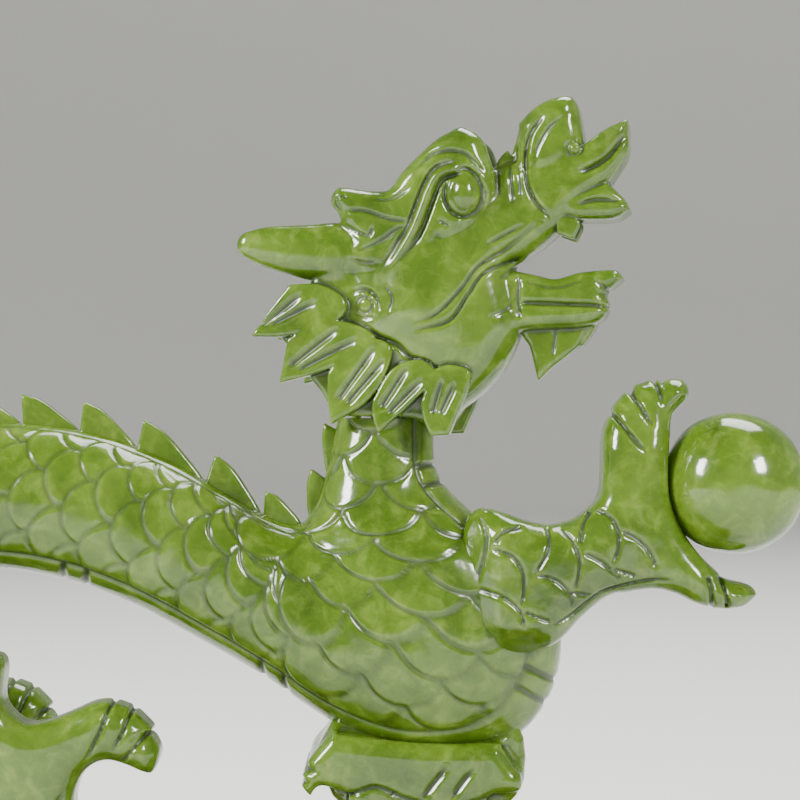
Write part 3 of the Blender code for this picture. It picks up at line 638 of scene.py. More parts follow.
            quad = []
            for u, v in ((1, 1), (0, 1), (0, 0), (1, 0)):
                cell = edges.copy()
                cell[:, others[0]] -= u
                cell[:, others[1]] -= v
                quad.append(number[tuple(cell.T)])
            quad = np.stack(quad, -1)
            turned = a[tuple(edges.T)] ^ (axis == 1)
            quad[turned] = quad[turned][:, ::-1]
            faces.append(quad)
        quads = np.vstack(faces)
        faces = np.vstack([quads[:, [0, 1, 2]], quads[:, [0, 2, 3]]])
        # How hollow each point lies, against a blurred copy of the field: this mark paints shade into hollows
        # and dulls their gloss.
        blurred = field
        for axis in range(3):
            blurred = (np.roll(blurred, 2, axis) + np.roll(blurred, 1, axis) + blurred + np.roll(blurred,
                                                                                                 -1, axis)
                       + np.roll(blurred, -2, axis)) / 5
        hollow = -self.sample(points, np.clip(blurred, -5, 5))[0] / self.step
        marks = np.clip(hollow * 2.2 - 0.12, 0, 1)
        place = np.stack([points[:, 0], points[:, 2], points[:, 1]], -1) * self.step + self.low
        place = turn(place) if turn else place
        piece = outward(buildMesh(name, place, faces, marks))
        print(name, len(piece.data.polygons), "triangles")
        return piece

    def sample(self, points, field=None):
        # Value and slope between grid points, in grid steps.
        field = self.field if field is None else field
        base = np.clip(np.floor(points).astype(int), 0, np.array(field.shape) - 2)
        f = points - base
        c = {}
        for k in range(8):
            d = (k & 1, k >> 1 & 1, k >> 2 & 1)
            c[d] = field[base[:, 0] + d[0], base[:, 1] + d[1], base[:, 2] + d[2]].astype(float)
        fx, fz, fy = f.T

        def lerp(a, b, t):
            return a + (b - a) * t

        x00, x10 = lerp(c[0, 0, 0], c[1, 0, 0], fx), lerp(c[0, 1, 0], c[1, 1, 0], fx)
        x01, x11 = lerp(c[0, 0, 1], c[1, 0, 1], fx), lerp(c[0, 1, 1], c[1, 1, 1], fx)
        low, high = lerp(x00, x10, fz), lerp(x01, x11, fz)
        alongX = lerp(lerp(c[1, 0, 0] - c[0, 0, 0], c[1, 1, 0] - c[0, 1, 0], fz),
                      lerp(c[1, 0, 1] - c[0, 0, 1], c[1, 1, 1] - c[0, 1, 1], fz), fy)
        alongZ = lerp(x10 - x00, x11 - x01, fy)
        return lerp(low, high, fy), np.stack([alongX, alongZ, high - low], -1)


# ---- the head ----
# Outlines are in side-view millimetres. The head is carved facing straight ahead, its left half mirrors its
# right, and it is then turned on its dowel.
viewDistance = 472.0
viewAim = np.array([64.0, 160.0])


def seenAt(points, away):
    # Shrinks a side-view outline about the line of sight, since what lies nearer by `away` mm looks larger.
    share = 1 - away / viewDistance
    return [(viewAim[0] + (p[0] - viewAim[0]) * share, viewAim[1] + (p[1] - viewAim[1]) * share, *p[2:])
            for p in points]


def faced(points, away, deep=None):
    # The same for the turned head: undoes the turn for details that lie `deep` mm to its right.
    c, s = math.cos(headYaw), math.sin(headYaw)
    deep = away if deep is None else deep
    return [(designSeat[0] + (p[0] - designSeat[0] - deep * s) / c, *p[1:]) for p in seenAt(points, away)]


def facedStrokes(strokes, away):
    return [(faced(points, away), *rest) for points, *rest in strokes]


def besideLine(points, by):
    # A line that runs beside another at a fixed distance.
    rows = np.array(points, float)
    run = np.gradient(rows, axis=0)
    side = np.stack([-run[:, 1], run[:, 0]], -1) / np.linalg.norm(run, axis=1, keepdims=True)
    return [tuple(p) for p in rows + side * by]


def arcLine(centre, radius, start, end, count=9, tall=1.0):
    # Points of an arc, in degrees anticlockwise from +x; tall stretches it upwards.
    angle = np.radians(np.linspace(start, end, count))
    return [(centre[0] + radius * math.cos(a), centre[1] + tall * radius * math.sin(a)) for a in angle]


headLook = {
    "step": 0.45, "cheekHalf": 10.8, "muzzleHalf": 8.8, "browMiddle": 8.6, "browHalf": 4.4,
    "leafMiddle": 13.2, "leafHalf": 2.3, "leafRootHalf": 1.7, "recessRadius": 13.0, "recessGap": 0.3,
    "skinAway": 8.0, "boreRadius": 3.8,
    "boreTop": 173.4,
    "eye": (79.8, 211.3), "cheekRound": (68.0, 184.0, 13.0), "nostril": (106.8, 221.8),
    "ear": (56.0, 183.5),
}
lidLine = [(78.5, 217.5), (74, 216), (71.5, 212), (68, 203), (64, 196), (60.5, 191)]
headLines = {
    # Each cut: its points, half width, depth, then how gently it starts and ends.
    "cheek": [
        ([(99.5, 205), (92, 198.5), (84, 193), (80, 187.5), (74, 181), (68.5, 179)], 0.9, 0.9, (0.1, 0.3)),
        ([(95.5, 196.5), (85.5, 191.5), (81.5, 186), (77, 179.5), (68.5, 177)], 0.9, 1.1, (0.1, 0.3)),
        ([(95.5, 203.5), (90, 200.5), (85.5, 198)], 0.8, 0.7, (0.3, 0.3)),
        ([(88.5, 190), (92.5, 191.5), (93, 187), (91, 183), (86, 180)], 0.8, 0.8, (0.2, 0.3)),
        ([(48.5, 185), (52, 186.8), (56, 187.3), (59, 185.5), (60, 182.5)], 1.0, 1.1, (0.1, 0.15)),
        ([(48.5, 185), (52, 182.5), (55, 180.8), (58.5, 180.5)], 0.9, 1.0, (0.1, 0.2)),
        (arcLine(headLook["ear"], 2.0, 170, -170), 0.75, 0.9, (0.02, 0.02)),
        ([(61.5, 188), (63.3, 185), (62.5, 182)], 0.8, 0.8, (0.2, 0.3)),
        ([(47, 183), (50, 179.5), (55, 177.5), (60, 175.5), (64.5, 173.5), (67.5, 170.5), (71.5, 169),
          (77, 165), (81, 164)], 1.1, 1.3, (0.1, 0.1)),
    ],
    "brow": [
        ([(68, 217), (72.5, 221), (78, 221.5), (81.5, 220), (85, 216)], 0.9, 0.9, (0.2, 0.2)),
        ([(51, 207.5), (56, 207), (61.5, 205), (67, 204)], 0.8, 0.9, (0.2, 0.1)),
        ([(67, 204), (63, 202), (59.5, 199.5), (53.5, 197)], 0.8, 0.9, (0.1, 0.3)),
        ([(57, 210), (62, 210), (67, 213)], 0.7, 0.6),
        ([(51, 203.5), (56, 201), (57.5, 203)], 0.7, 0.8, (0.2, 0.2)),
        ([(50, 196), (54, 194.5), (59, 194)], 0.8, 0.9, (0.2, 0.2)),
        (arcLine((49.5, 209.5), 1.6, 20, 250), 0.6, 0.7, (0.1, 0.1)),
        (lidLine, 1.3, -1.1, (0.1, 0.25)),
        (arcLine(headLook["eye"], 4.5, 100, -215, 19, 1.32), 0.95, 1.3, (0.1, 0.1)),
        (besideLine(lidLine, 1.9), 0.9, 1.2, (0.05, 0.25)),
        (besideLine(lidLine, -1.9), 0.9, 1.1, (0.25, 0.25)),
        ([(83.5, 215.5), (85, 211.5), (84, 207.5), (81.5, 205)], 0.7, 1.0, (0.3, 0.2)),
        ([(86.5, 210), (83.5, 205), (80.5, 202), (76, 198.5), (71, 195.5)], 0.8, 0.8, (0.15, 0.3)),
        ([(75.5, 208), (78, 206.5)], 0.6, 0.7), ([(74, 204.5), (76.5, 203)], 0.6, 0.7),
        ([(73, 201), (75, 199.8)], 0.6, 0.7),
    ],
    "snout": [
        ([(99, 229.5), (96, 225), (95, 219), (95.5, 213), (98, 208), (101, 205)], 1.0, 1.2, (0.12, 0.15)),
        ([(106, 230.5), (101, 227), (98, 222), (97, 218)], 0.9, 0.6, (0.3, 0.3)),
        ([(88, 217), (88.5, 209)], 0.8, 0.7), ([(91, 218), (92, 208)], 0.8, 0.8),
        ([(93.3, 219), (94, 209)], 0.7, 0.7),
        ([(105.5, 228), (107, 225), (106, 220)], 1.0, 0.9, (0.3, 0.3)),
    ],
    "jaw": [
        ([(93.5, 184), (105, 183.5), (115, 183)], 1.1, 1.3, (0.1, 0.15)),
        ([(94, 189.5), (102, 187.5), (111, 190)], 0.8, 0.6, (0.2, 0.3)),
        ([(111.5, 189.5), (115.5, 186.5)], 0.8, 0.7),
        ([(93.5, 191), (93, 185), (93.5, 180)], 1.0, 0.9, (0.2, 0.2)),
    ],
}
# Mane leaves: the outline with its sharp tip and upper corner, then the two channels up from the tip.
maneLeaves = [
    ([(26, 176, 1), (31, 183), (36, 189.2, 1), (44, 189), (50, 185), (48, 180), (36, 176.3)],
     [(28.7, 178.3), (39, 186.5)], [(31.3, 179), (43, 184.5)]),
    ([(33.3, 164.2, 1), (34.5, 170), (35.5, 175.5, 1), (45, 180), (55, 178), (57, 173.5), (45, 167.5)],
     [(36, 168.3), (48.5, 178)], [(38.3, 167.5), (53, 175)]),
    ([(46.5, 154, 1), (45.7, 160), (45.7, 167, 1), (54, 175), (61, 174), (61, 168.5), (56, 160)],
     [(48.4, 160), (57.5, 173)], [(50.5, 159), (60, 170)]),
    ([(58.3, 151.5, 1), (57, 156), (57, 160, 1), (62, 168), (69, 170), (73, 166), (68, 160.5)],
     [(59.2, 158), (65.5, 168)], [(61, 156.5), (69.5, 165)]),
    ([(71.5, 151, 1), (69.8, 155), (69, 159.5, 1), (73, 168), (80, 168), (81, 164), (76, 151.3, 1)],
     [(72, 156.5), (74.5, 165)], [(73.8, 156.5), (77.5, 164)]),
]
hornRows = [(58, 7.5, 196, 6.5), (48, 8.6, 196.3, 7.3), (43, 9.4, 196.3, 7.0), (37, 10.4, 196.8, 6.2),
            (31, 11.3, 197.6, 5.1), (26.2, 12.0, 198.2, 3.4)]


def skullHalf(x, z):
    # Half width of the skull: narrows forward into the muzzle, swells at the cheek, narrows to the crown.
    look = headLook
    forward = np.clip((x - 76.0) / 20.0, 0, 1) ** 1.3
    cheek = np.exp(-((x - 70.0) / 10.5) ** 2 - ((z - 184.0) / 12.0) ** 2)
    crown = np.clip((z - 196.0) / 25.0, 0, 1)
    return look["cheekHalf"] - (look["cheekHalf"] - look["muzzleHalf"]) * forward + 3.2 * cheek - 1.4 * crown


def turnHead(points):
    # The head's small turn to its right, about the axis of its dowel.
    c, s = math.cos(headYaw), math.sin(headYaw)
    moved = points - designSeat
    return np.stack([moved[:, 0] * c - moved[:, 1] * s, moved[:, 0] * s + moved[:, 1] * c, moved[:, 2]],
                    -1) + designSeat


def makeHead():
    look = headLook
    block = Block((20.0, -21.0, 148.0), (128.0, 21.0, 237.0), look["step"])

    def plate(outline, middle, half, edge, lines=(), blend=1.0, both=False, away=None, deep=None,
              swell=None):
        # away and deep place the outline; its strokes lie on the skin, so they use where the skin is.
        skin = middle + (look["cheekHalf"] if callable(half) else half)
        away = skin if away is None else away
        strokes = facedStrokes(lines, away if deep is None else look["skinAway"])
        block.plate(faced(outline, away, deep), middle, half, edge, strokes, blend, both, swell)

    midFace = {"away": 7.0, "deep": -4.0}

    def leafHalf(x, z):
        # Half thickness of a mane leaf: full outside the cheek's round, thinner where it dips under it.
        cheekX, cheekZ, cheekRadius = look["cheekRound"]
        outside = np.clip((np.hypot(x - cheekX, z - cheekZ) - cheekRadius) / 10.0, 0, 1)
        return look["leafRootHalf"] + (look["leafHalf"] - look["leafRootHalf"]) * outside

    plate([(50.5, 202), (57, 209), (64.5, 214.5), (74, 220.5), (83.5, 221), (88, 216), (96, 211),
           (101, 206.5),
           (103, 202), (94.5, 195), (91.5, 192.5), (93, 185), (93.5, 178), (89.5, 168.5), (84, 162),
           (79, 158),
           (76, 154), (71.5, 153), (60, 155.5), (52, 174), (48.5, 182), (48.5, 194)],
          0.0, skullHalf, 7.5, headLines["cheek"], 1.2, away=8.0, swell=2.2)
    plate([(31, 180.5), (39, 188), (51, 192), (64, 177.5), (74, 160), (71.5, 155), (66, 155.6),
           (57, 155.8), (48, 156.6), (44, 162), (40, 167), (37, 172)], 0.0, 12.0, 1.2, (), 1.0)
    plate([(57.5, 212.5), (61, 213), (64, 217), (68, 221), (72.5, 225), (76, 227), (79, 228), (83.5, 225.5),
           (85.5, 221), (87, 215), (86.5, 210), (83, 204.5), (79, 201), (73, 197), (66, 193.5), (61, 190.5),
           (55, 191), (49, 195), (51, 200), (49, 204, 1), (48, 207), (46, 210), (48, 213.5), (53, 213)],
          look["browMiddle"], look["browHalf"], 3.8, headLines["brow"], 0.9, both=True, away=12.0,
          swell=1.6)
    eyeX, eyeZ = faced([look["eye"]], 12.5)[0]
    block.oval((eyeX, 11.9, eyeZ), (3.7, 3.9, 5.1), 0.25, both=True)
    plate([(83.5, 212), (87.5, 216.5), (90.5, 218), (95, 220), (99, 225), (104, 228), (109, 225),
           (111, 220.5),
           (114, 215), (111.5, 208.5), (107.5, 204.5), (104, 201.5), (99.5, 198), (94, 195), (84.5, 198.5)],
          0.0, look["muzzleHalf"], 5.5, headLines["snout"], 1.0, **midFace)
    plate([(95, 228.5, 1), (99, 232.5), (103, 234.5), (107, 235), (109, 233.5), (110, 230), (110.5, 222.5),
           (106, 217), (100, 215), (95, 217)], 0.0, 9.4, 5.0, headLines["snout"][:2], 0.8, **midFace)
    plate([(106, 221), (110.5, 222.5, 1), (116, 226.5), (121.5, 229, 1), (121.5, 221), (117.5, 214, 1),
           (111, 210),
           (105, 207), (101, 210), (103, 216)], 0.0, 8.6, 3.4,
          [([(104, 214.5), (110, 216.5), (115, 219.5), (119, 225)], 1.3, 1.6, (0.1, 0.2))], 0.5, **midFace)
    plate([(103, 209), (109, 211), (116.5, 213.5, 1), (121, 209), (122, 206.5, 1), (118, 204.5),
           (110, 204.5),
           (105.5, 206)], 0.0, 8.2, 2.6,
          [([(107.5, 208), (112, 209), (118.5, 208.5)], 1.1, 1.2, (0.3, 0.3))], 0.5, **midFace)
    nostrilX, nostrilZ = faced([look["nostril"]], 9.0)[0]
    block.oval((nostrilX, 10.0, nostrilZ), (2.6, 1.8, 2.6), 0.5, both=True, remove=True)
    block.oval((nostrilX, 8.4, nostrilZ), (1.4, 1.2, 1.4), 0.2, both=True)
    plate([(103, 205), (102.5, 201, 1), (106.5, 199.5, 1), (108, 204)], 5.6, 1.6, 0.7, (), 0.3, both=True)
    for spike in ([(86.5, 213), (88, 219), (90.5, 222, 1), (92.5, 218), (93, 212)],
                  [(91, 212), (91.5, 220), (93.3, 226.6, 1), (95, 222), (97, 214)]):
        plate(spike, 3.4, 1.7, 0.8, (), 0.6, both=True)
    plate([(83, 189), (89, 192), (94, 192), (99, 191), (104, 190), (110, 191.5), (118, 192),
           (120.5, 190, 1),
           (116, 186, 1), (117, 183), (115, 179.5), (110, 178), (99, 177.5), (92, 176.5), (85, 177)],
          0.0, 7.4, 3.4, headLines["jaw"], 1.0, **midFace)
    plate([(96, 178.5), (97.5, 173), (98.5, 169), (99.5, 164.5, 1), (103, 168), (107, 171), (111, 174),
           (113, 180)],
          0.0, 3.8, 1.4, [([(102, 177.5), (101, 170)], 0.8, 0.7, (0.2, 0.4)),
                          ([(109.5, 177.5), (107, 172.5), (103, 168.5)], 0.8, 0.7, (0.2, 0.4))], 0.6,
          **midFace)
    for side in (-1, 1):
        block.limb([faced([(x, z)], y)[0][:1] + (side * y, z, radius) for x, y, z, radius in hornRows], 1.2,
                   0.72)
    for outline, *channels in maneLeaves:
        lines = [(channel, 1.4, 1.15, (0.1, 0.3)) for channel in channels]
        plate(outline, look["leafMiddle"], leafHalf, 0.7, lines, 0.35, both=True, away=15.5)
    # The round seat on the neck and the hole for the dowel.
    x, y, z = block.spread()
    ring = np.hypot(x - designSeat[0], y)
    block.keepOut(np.maximum(ring - look["recessRadius"], z - designSeat[2] - look["recessGap"]))
    block.keepOut(np.maximum(ring - look["boreRadius"], z - look["boreTop"]))
    return block.surface("headCarving", turnHead)


# ---- spine barbs and tail flames ----
barbLook = {"step": 0.4, "half": 1.9, "edge": 0.9, "root": 4.5,
            "profile": [(-0.1, 1.0), (0.22, 0.9), (0.55, 0.56)]}
# For each body piece: the section it starts at, then rows of steep foot, gentle foot and height, in mm.
spineBarbs = {
    "front": (0, [(3.0, 14.5, 3.2), (15.5, 26.0, 4.2), (38.0, 28.0, 5.8), (54.5, 38.5, 6.9),
                  (73.5, 55.0, 6.9),
                  (88.5, 74.0, 7.1), (103.0, 89.0, 7.1), (115.0, 103.5, 7.1)]),
    "rear": (15, [(16.5, 2.0, 7.0), (32.0, 17.0, 7.5), (47.0, 32.5, 7.5), (62.0, 47.5, 7.5),
                  (77.0, 62.5, 7.5)]),
    "tail": (21, [(15.0, 5.0, 7.5), (28.0, 16.0, 7.5), (41.0, 28.5, 7.5), (54.0, 41.5, 7.5),
                  (66.0, 54.5, 8.0)]),
}
tailFlames = [
    [(-141, 163), (-153, 166), (-162.5, 178.4, 1), (-152, 177), (-139, 172)],
    [(-143, 167), (-155, 179), (-160, 194, 1), (-149, 185), (-137, 172)],
    [(-143, 168), (-148.5, 185), (-148, 203.8, 1), (-139.5, 188), (-135, 170)],
    [(-141.5, 168), (-138, 186), (-130, 198, 1), (-130, 183), (-134.5, 168)],
]


def backAt(section, distances):
    # Points that far along the back from a section, with the direction out of the body there.
    place = np.linspace(section, len(bodyRows) - 1, 3000)
    middle, up, half, _ = bodyAt(place)
    line = middle + up * half[:, None]
    length = np.concatenate([[0], np.cumsum(np.linalg.norm(np.diff(line, axis=0), axis=1))])
    pick = np.searchsorted(length, distances)
    return line[pick], up[pick]


def barbOutline(section, steep, gentle, height):
    # From the foot of the steep side over the tip and down the long slope, with a root inside the stone.
    (first, last), (outwards, _) = backAt(section, [steep, gentle])
    along = last - first
    up = np.array([-along[1], along[0]]) / np.linalg.norm(along)
    up = up if up @ outwards > 0 else -up
    crown = [first + along * share + up * height * rise for share, rise in barbLook["profile"]]
    root = [last - up * 0.6, last - along * 0.15 - up * barbLook["root"],
            first + along * 0.15 - up * barbLook["root"], first - up * 0.8]
    return [(*crown[0], 1), (*crown[1],), (*crown[2],), (*root[0],), (*root[1],), (*root[2],),
            (*root[3], 1)]


def makeSpine(name, part):
    look = barbLook
    section, rows = spineBarbs[part]
    outlines = [barbOutline(section, *row) for row in rows]
    if part == "tail":
        outlines += tailFlames
    corners = np.array([p[:2] for outline in outlines for p in outline], float)
    low, high = corners.min(0) - 2.5, corners.max(0) + 2.5
    block = Block((low[0], -5.2, low[1]), (high[0], 5.2, high[1]), look["step"])
    for outline in outlines[:len(rows)]:
        block.plate(outline, 0.0, look["half"], look["edge"], (), 0.2)
    for number, flame in enumerate(outlines[len(rows):]):
        points = np.array([p[:2] for p in flame], float)
        tip, root = points[2], (points[0] + points[-1]) / 2
        lines = [([tuple(tip + (root - tip) * 0.25), tuple(tip + (root - tip) * 0.6 + shift),
                   tuple(root + shift)],
                  0.8, 0.8, (0.2, 0.2)) for shift in (np.array([1.4, 1.0]), np.array([-1.4, -1.0]))]
        block.plate(flame, 0.0, 3.2 - 0.25 * number, 1.2, lines, 0.4)
    return block.surface(name)


# ---- the raised arm and its hand ----
armLook = {
    "step": 0.45, "middle": -13.0, "handMiddle": -12.0, "away": 20.0, "pearlGap": 0.3, "sink": 4.5,
}
pearlLow, pearlHigh = nodeBox("pearl")
pearlMiddle = (pearlLow + pearlHigh) / 2
pearlRadius = (pearlHigh[2] - pearlLow[2]) / 2
armScales = [
    [(84, 131), (85.5, 126), (84.8, 120), (83, 114)], [(87.5, 124.5), (90, 127), (94.5, 128)],
    [(101, 128), (101, 123), (97.8, 117)], [(87, 123), (92, 121), (94.3, 117.5), (94.8, 113), (94.2, 109)],
    [(104.3, 127.5), (107, 124.8), (108.5, 121), (108.5, 117), (107.5, 112.8)],
    [(98, 116.5), (103, 115), (106, 112), (107, 108.5)], [(108.7, 124), (109.8, 128.5), (112, 132)],
    [(113, 132.5), (116.3, 130.8), (118.3, 127.5), (118.3, 123), (117.2, 119.8)],
    [(109.8, 122), (114, 119.8), (117.2, 117), (119, 115)],
    [(119, 127.5), (123.7, 124.8), (126.5, 121.5), (128, 118.3)],
    [(117, 118), (122.8, 116)], [(83, 112.8), (89, 111.3), (93.5, 108), (95, 103.5)],
    [(94.5, 107.3), (101.5, 104.8)],
    [(106.5, 112.2), (111.2, 111.2)],
]
armCuts = [
    ([(100, 103), (106.5, 106.3), (112, 110.5), (116.3, 112.8), (125.5, 115), (131.5, 115)], 0.8, 0.9,
     (0.2, 0.2)),
    ([(116.8, 157.8), (121, 152), (125.8, 146.5)], 1.0, 1.3, (0.02, 0.4)),
    ([(121.8, 162.5), (124.5, 158), (127.2, 153.5)], 1.0, 1.3, (0.02, 0.4)),
    ([(128.6, 165), (129.3, 162), (130, 158.8)], 1.0, 1.3, (0.02, 0.4)),
    ([(141, 115.2), (141.8, 112), (142.3, 108.3)], 0.9, 1.2, (0.02, 0.02)),
    ([(144.5, 115), (145.5, 112), (146.3, 108.3)], 0.9, 1.2, (0.02, 0.02)),
]


def makeArm():
    look = armLook
    block = Block((74.0, -27.0, 93.0), (156.0, 1.0, 168.0), look["step"])
    lines = [(seenAt(points, look["away"]), 0.85, 0.85, (0.12, 0.12)) for points in armScales]
    lines += [(seenAt(points, look["away"]), *rest) for points, *rest in armCuts]

    def armHalf(x, z):
        # Half width: full at the shoulder, slimmer at the wrist, slimmest at the tips of fingers and thumb.
        slim = np.clip((x - 100) / 16, 0, 1) * 1.2 + np.clip((z - 148) / 16, 0, 1) * 3.6
        # The shoulder's rear and lower edges sink into the chest.
        slim += np.clip((x - 136) / 15, 0, 1) * np.clip((128 - z) / 8, 0, 1) * 3.4
        slim += look["sink"] * np.clip((88 - x) / 7, 0, 1)
        return 10.6 - slim - look["sink"] * np.clip((106 - z) / 8, 0, 1) * np.clip((100 - x) / 4, 0, 1)

    block.plate(seenAt([(80, 128), (82.5, 132.5), (86, 133), (90.5, 131.8), (95.5, 130), (101, 129),
                        (106, 130),
                        (111.3, 132.5), (117, 134), (124, 126), (121, 114.5), (117.5, 112.3),
                        (113.5, 109.8),
                        (109, 106), (103.3, 100.2), (96.5, 97), (88, 97), (81, 104), (79, 116)], 12.0),
                look["middle"], armHalf, 8.6, lines, 1.5)
    block.plate(seenAt([(109, 128), (113.5, 136), (114.3, 143), (114.6, 151.5), (116.6, 157.6, 1),
                        (118, 159.6, 1),
                        (121, 162.8), (122.2, 162, 1), (122.6, 163.7, 1), (128, 165.3), (128.9, 164.6, 1),
                        (129.2, 163.9, 1), (131, 165.1), (134.2, 165.1), (135.9, 163), (135.4, 160.3),
                        (131.8, 156.3), (131, 151), (130.5, 143.5), (131.5, 135), (134, 127.8), (138, 122),
                        (142.3, 117.8), (145, 115.5), (150.8, 114), (152.8, 112), (152, 110.4),
                        (148.8, 108.4),
                        (142.3, 108.3), (137, 109.8), (132.3, 112), (127, 113.2), (119, 112.8), (111, 116)],
                        12.0),
                look["handMiddle"], armHalf, 5.6, lines, 2.6)
    x, y, z = block.spread()
    away = np.sqrt((x - pearlMiddle[0]) ** 2 + (y - pearlMiddle[1]) ** 2 + (z - pearlMiddle[2]) ** 2)
    block.keepOut(away - pearlRadius - look["pearlGap"])
    return block.surface("raisedArm")


def makeFarArm():
    # The other foreleg hangs bent beside the chest, its claws on the cloud.
    block = Block((52.0, 2.0, 48.0), (104.0, 33.0, 132.0), 0.5)
    arcs = [arcLine((x, z + 6.5), 8.0, 215, 325) for x,
            z in ((80, 107), (73, 97), (86, 115), (68, 86), (79, 96))]
    block.limb([(90, 10, 117, 11), (82, 17, 110, 12), (73, 20.5, 100, 10.6), (66.5, 21.5, 89.5, 8.8),
                (68, 21, 79, 7.8), (73, 20.5, 70, 8.4), (78, 20, 63, 6.4)], 1.0, 0.82)
    for outline in ([(70, 72), (78, 70), (84, 64), (85.5, 56.5, 1), (80, 60), (72, 63)],
                    [(66, 72), (73, 68), (76, 60), (75, 53.5, 1), (70, 59), (65, 66)]):
        block.plate(outline, 20.5, 4.6, 2.6, (), 1.2)
    block.carve([(arc, 0.8, 0.75, (0.1, 0.1)) for arc in arcs], lambda y: np.clip((y - 20) / 3, 0, 1))
    return block.surface("farForeleg")


# ---- hind legs ----
hindLook = {"step": 0.5, "middle": 17.0, "half": 8.0, "edge": 5.6, "farShift": -31.0, "away": 20.0,
            "rest": 51.3}
hindPaw = [
    (-36, 96), (-35.4, 86), (-34, 82.5), (-31, 79.8), (-28, 79), (-23, 80), (-18, 82), (-12.5, 84.3),
    (-7.8, 84.5),
    (-5.5, 83.8, 1), (-2.8, 82.7), (-1.3, 81.5, 1), (2, 78), (1.2, 76.8, 1), (3, 74.8), (4, 71.5),
    (2.3, 67.2),
    (0, 67), (-4.3, 68.8), (-9, 70), (-13, 68.8), (-16, 65.5), (-17.5, 60), (-16.5, 54), (-11, 50, 1),
    (-14, 44, 1),
    (-52, 44, 1), (-53, 49), (-47, 58), (-46.5, 66), (-49, 76), (-52, 88), (-50, 96),
]
hindCuts = [
    ([(-7.8, 84.4), (-10.5, 77.5), (-13.8, 71)], 0.9, 1.2, (0.02, 0.3)),
    ([(-2.8, 82.8), (-4.6, 78), (-7, 73.2)], 0.9, 1.2, (0.02, 0.3)),
    ([(1, 77), (-3, 72.5), (-5.5, 70)], 0.8, 0.9, (0.02, 0.3)),
    ([(-20, 62), (-24, 55), (-26, 46)], 0.9, 1.1, (0.2, 0.02)),
    ([(-31, 61), (-34, 54), (-35, 46)], 0.9, 1.1, (0.2, 0.02)),
    ([(-46, 62), (-43, 55), (-42, 46)], 0.9, 1.0, (0.2, 0.02)),
]
thighRows = [(-80, 10, 126, 12), (-70, 15, 117, 14.6), (-60, 17.5, 106, 13.2), (-51, 17.5, 96, 11.5),
             (-45.5, 17.5, 87, 9.6), (-42, 17, 78, 8)]
farThighRows = [(-86, 9, 113, 10), (-83, 14, 107, 12.6), (-79, 17, 99, 12.2), (-76, 17.5, 90, 10.6),
                (-74, 17, 78, 8)]


def makeHindLeg(name, rows, side, shift):
    # Thigh, shin and paw in one stone. side is -1 on the right; shift moves the paw along x.
    look = hindLook
    low = min(row[0] for row in rows) - 18
    block = Block((low, 2.0, 48.0), (shift + 8.0, 32.0, 136.0), look["step"])
    block.limb(rows, 1.0, 0.74)
    scales = [arcLine((x, z + 7), 7.6, 225, 335) for x, z, *_ in
              [(row[0] + dx, row[2] + dz) for row in rows[1:5] for dx, dz in ((-6, 1), (4, 3), (-1, -5))]]
    paw = [(x + shift, *rest) for x, *rest in seenAt(hindPaw, look["away"])]
    cuts = [([(x + shift, z) for x, z in seenAt(points, look["away"])], *rest) for points,
            *rest in hindCuts]
    block.plate(paw, look["middle"], look["half"], look["edge"], cuts, 2.2)
    block.carve([(arc, 0.8, 0.75, (0.1, 0.1)) for arc in scales], lambda y: np.clip((y - 18) / 3, 0, 1))
    block.cutBelow(look["rest"])

    def place(points):
        return points * np.array([1.0, side, 1.0])

    return block.surface(name, place)


# ---- the pearl ----
pearlLook = {"around": 220, "rows": 150, "flat": 0.16, "inset": 0.25}


def makePearl():
    # A ball whose radius dips slightly and slowly, as hand polishing leaves it.
    look = pearlLook
    high = math.pi * (np.arange(look["rows"]) + 0.5)[:, None] / look["rows"]
    turn = 2 * math.pi * np.arange(look["around"])[None, :] / look["around"]
    away = np.stack([np.sin(high) * np.cos(turn), np.sin(high) * np.sin(turn), np.cos(high) + 0 * turn], -1)
    a, b, c = away[..., 0], away[..., 1], away[..., 2]
    broad = np.sin(4 * a + 1) * np.sin(5 * b + 2) * np.cos(4 * c)
    dip = look["flat"] * (broad + 0.5 * np.sin(7 * (a + c)) * np.cos(6 * b))
    radius = pearlRadius - look["inset"] + dip
    points = (away * radius[..., None]).reshape(-1, 3)
    poles = np.array([[0, 0, 1.0], [0, 0, -1.0]]) * (pearlRadius - look["inset"])
    points = np.vstack([points, poles]) + pearlMiddle
    count = look["around"] * look["rows"]
    return outward(buildMesh("pearlBall", points, ringFaces(look["rows"], look["around"], count, count + 1),
                             np.zeros(len(points))))


# ---- the clouds it stands on ----
cloudLook = {"step": 0.6, "frontHalf": 17.0, "baseHalf": 24.0, "pillarHalf": 12.0, "edge": 3.5,
             "tenonFoot": 23.9, "boardTop": 27.8}


def scroll(centre, radius, start, way=1):
    # A curl that winds in one and a half turns: the radius shrinks evenly with the angle.
    angle = np.radians(start) + way * np.linspace(0, 3 * math.pi, 22)
    reach = np.linspace(radius, radius * 0.18, 22)
    return ([(centre[0] + r * math.cos(a), centre[1] + r * math.sin(a)) for r, a in zip(reach, angle)],
            0.95, 1.2, (0.1, 0.15))


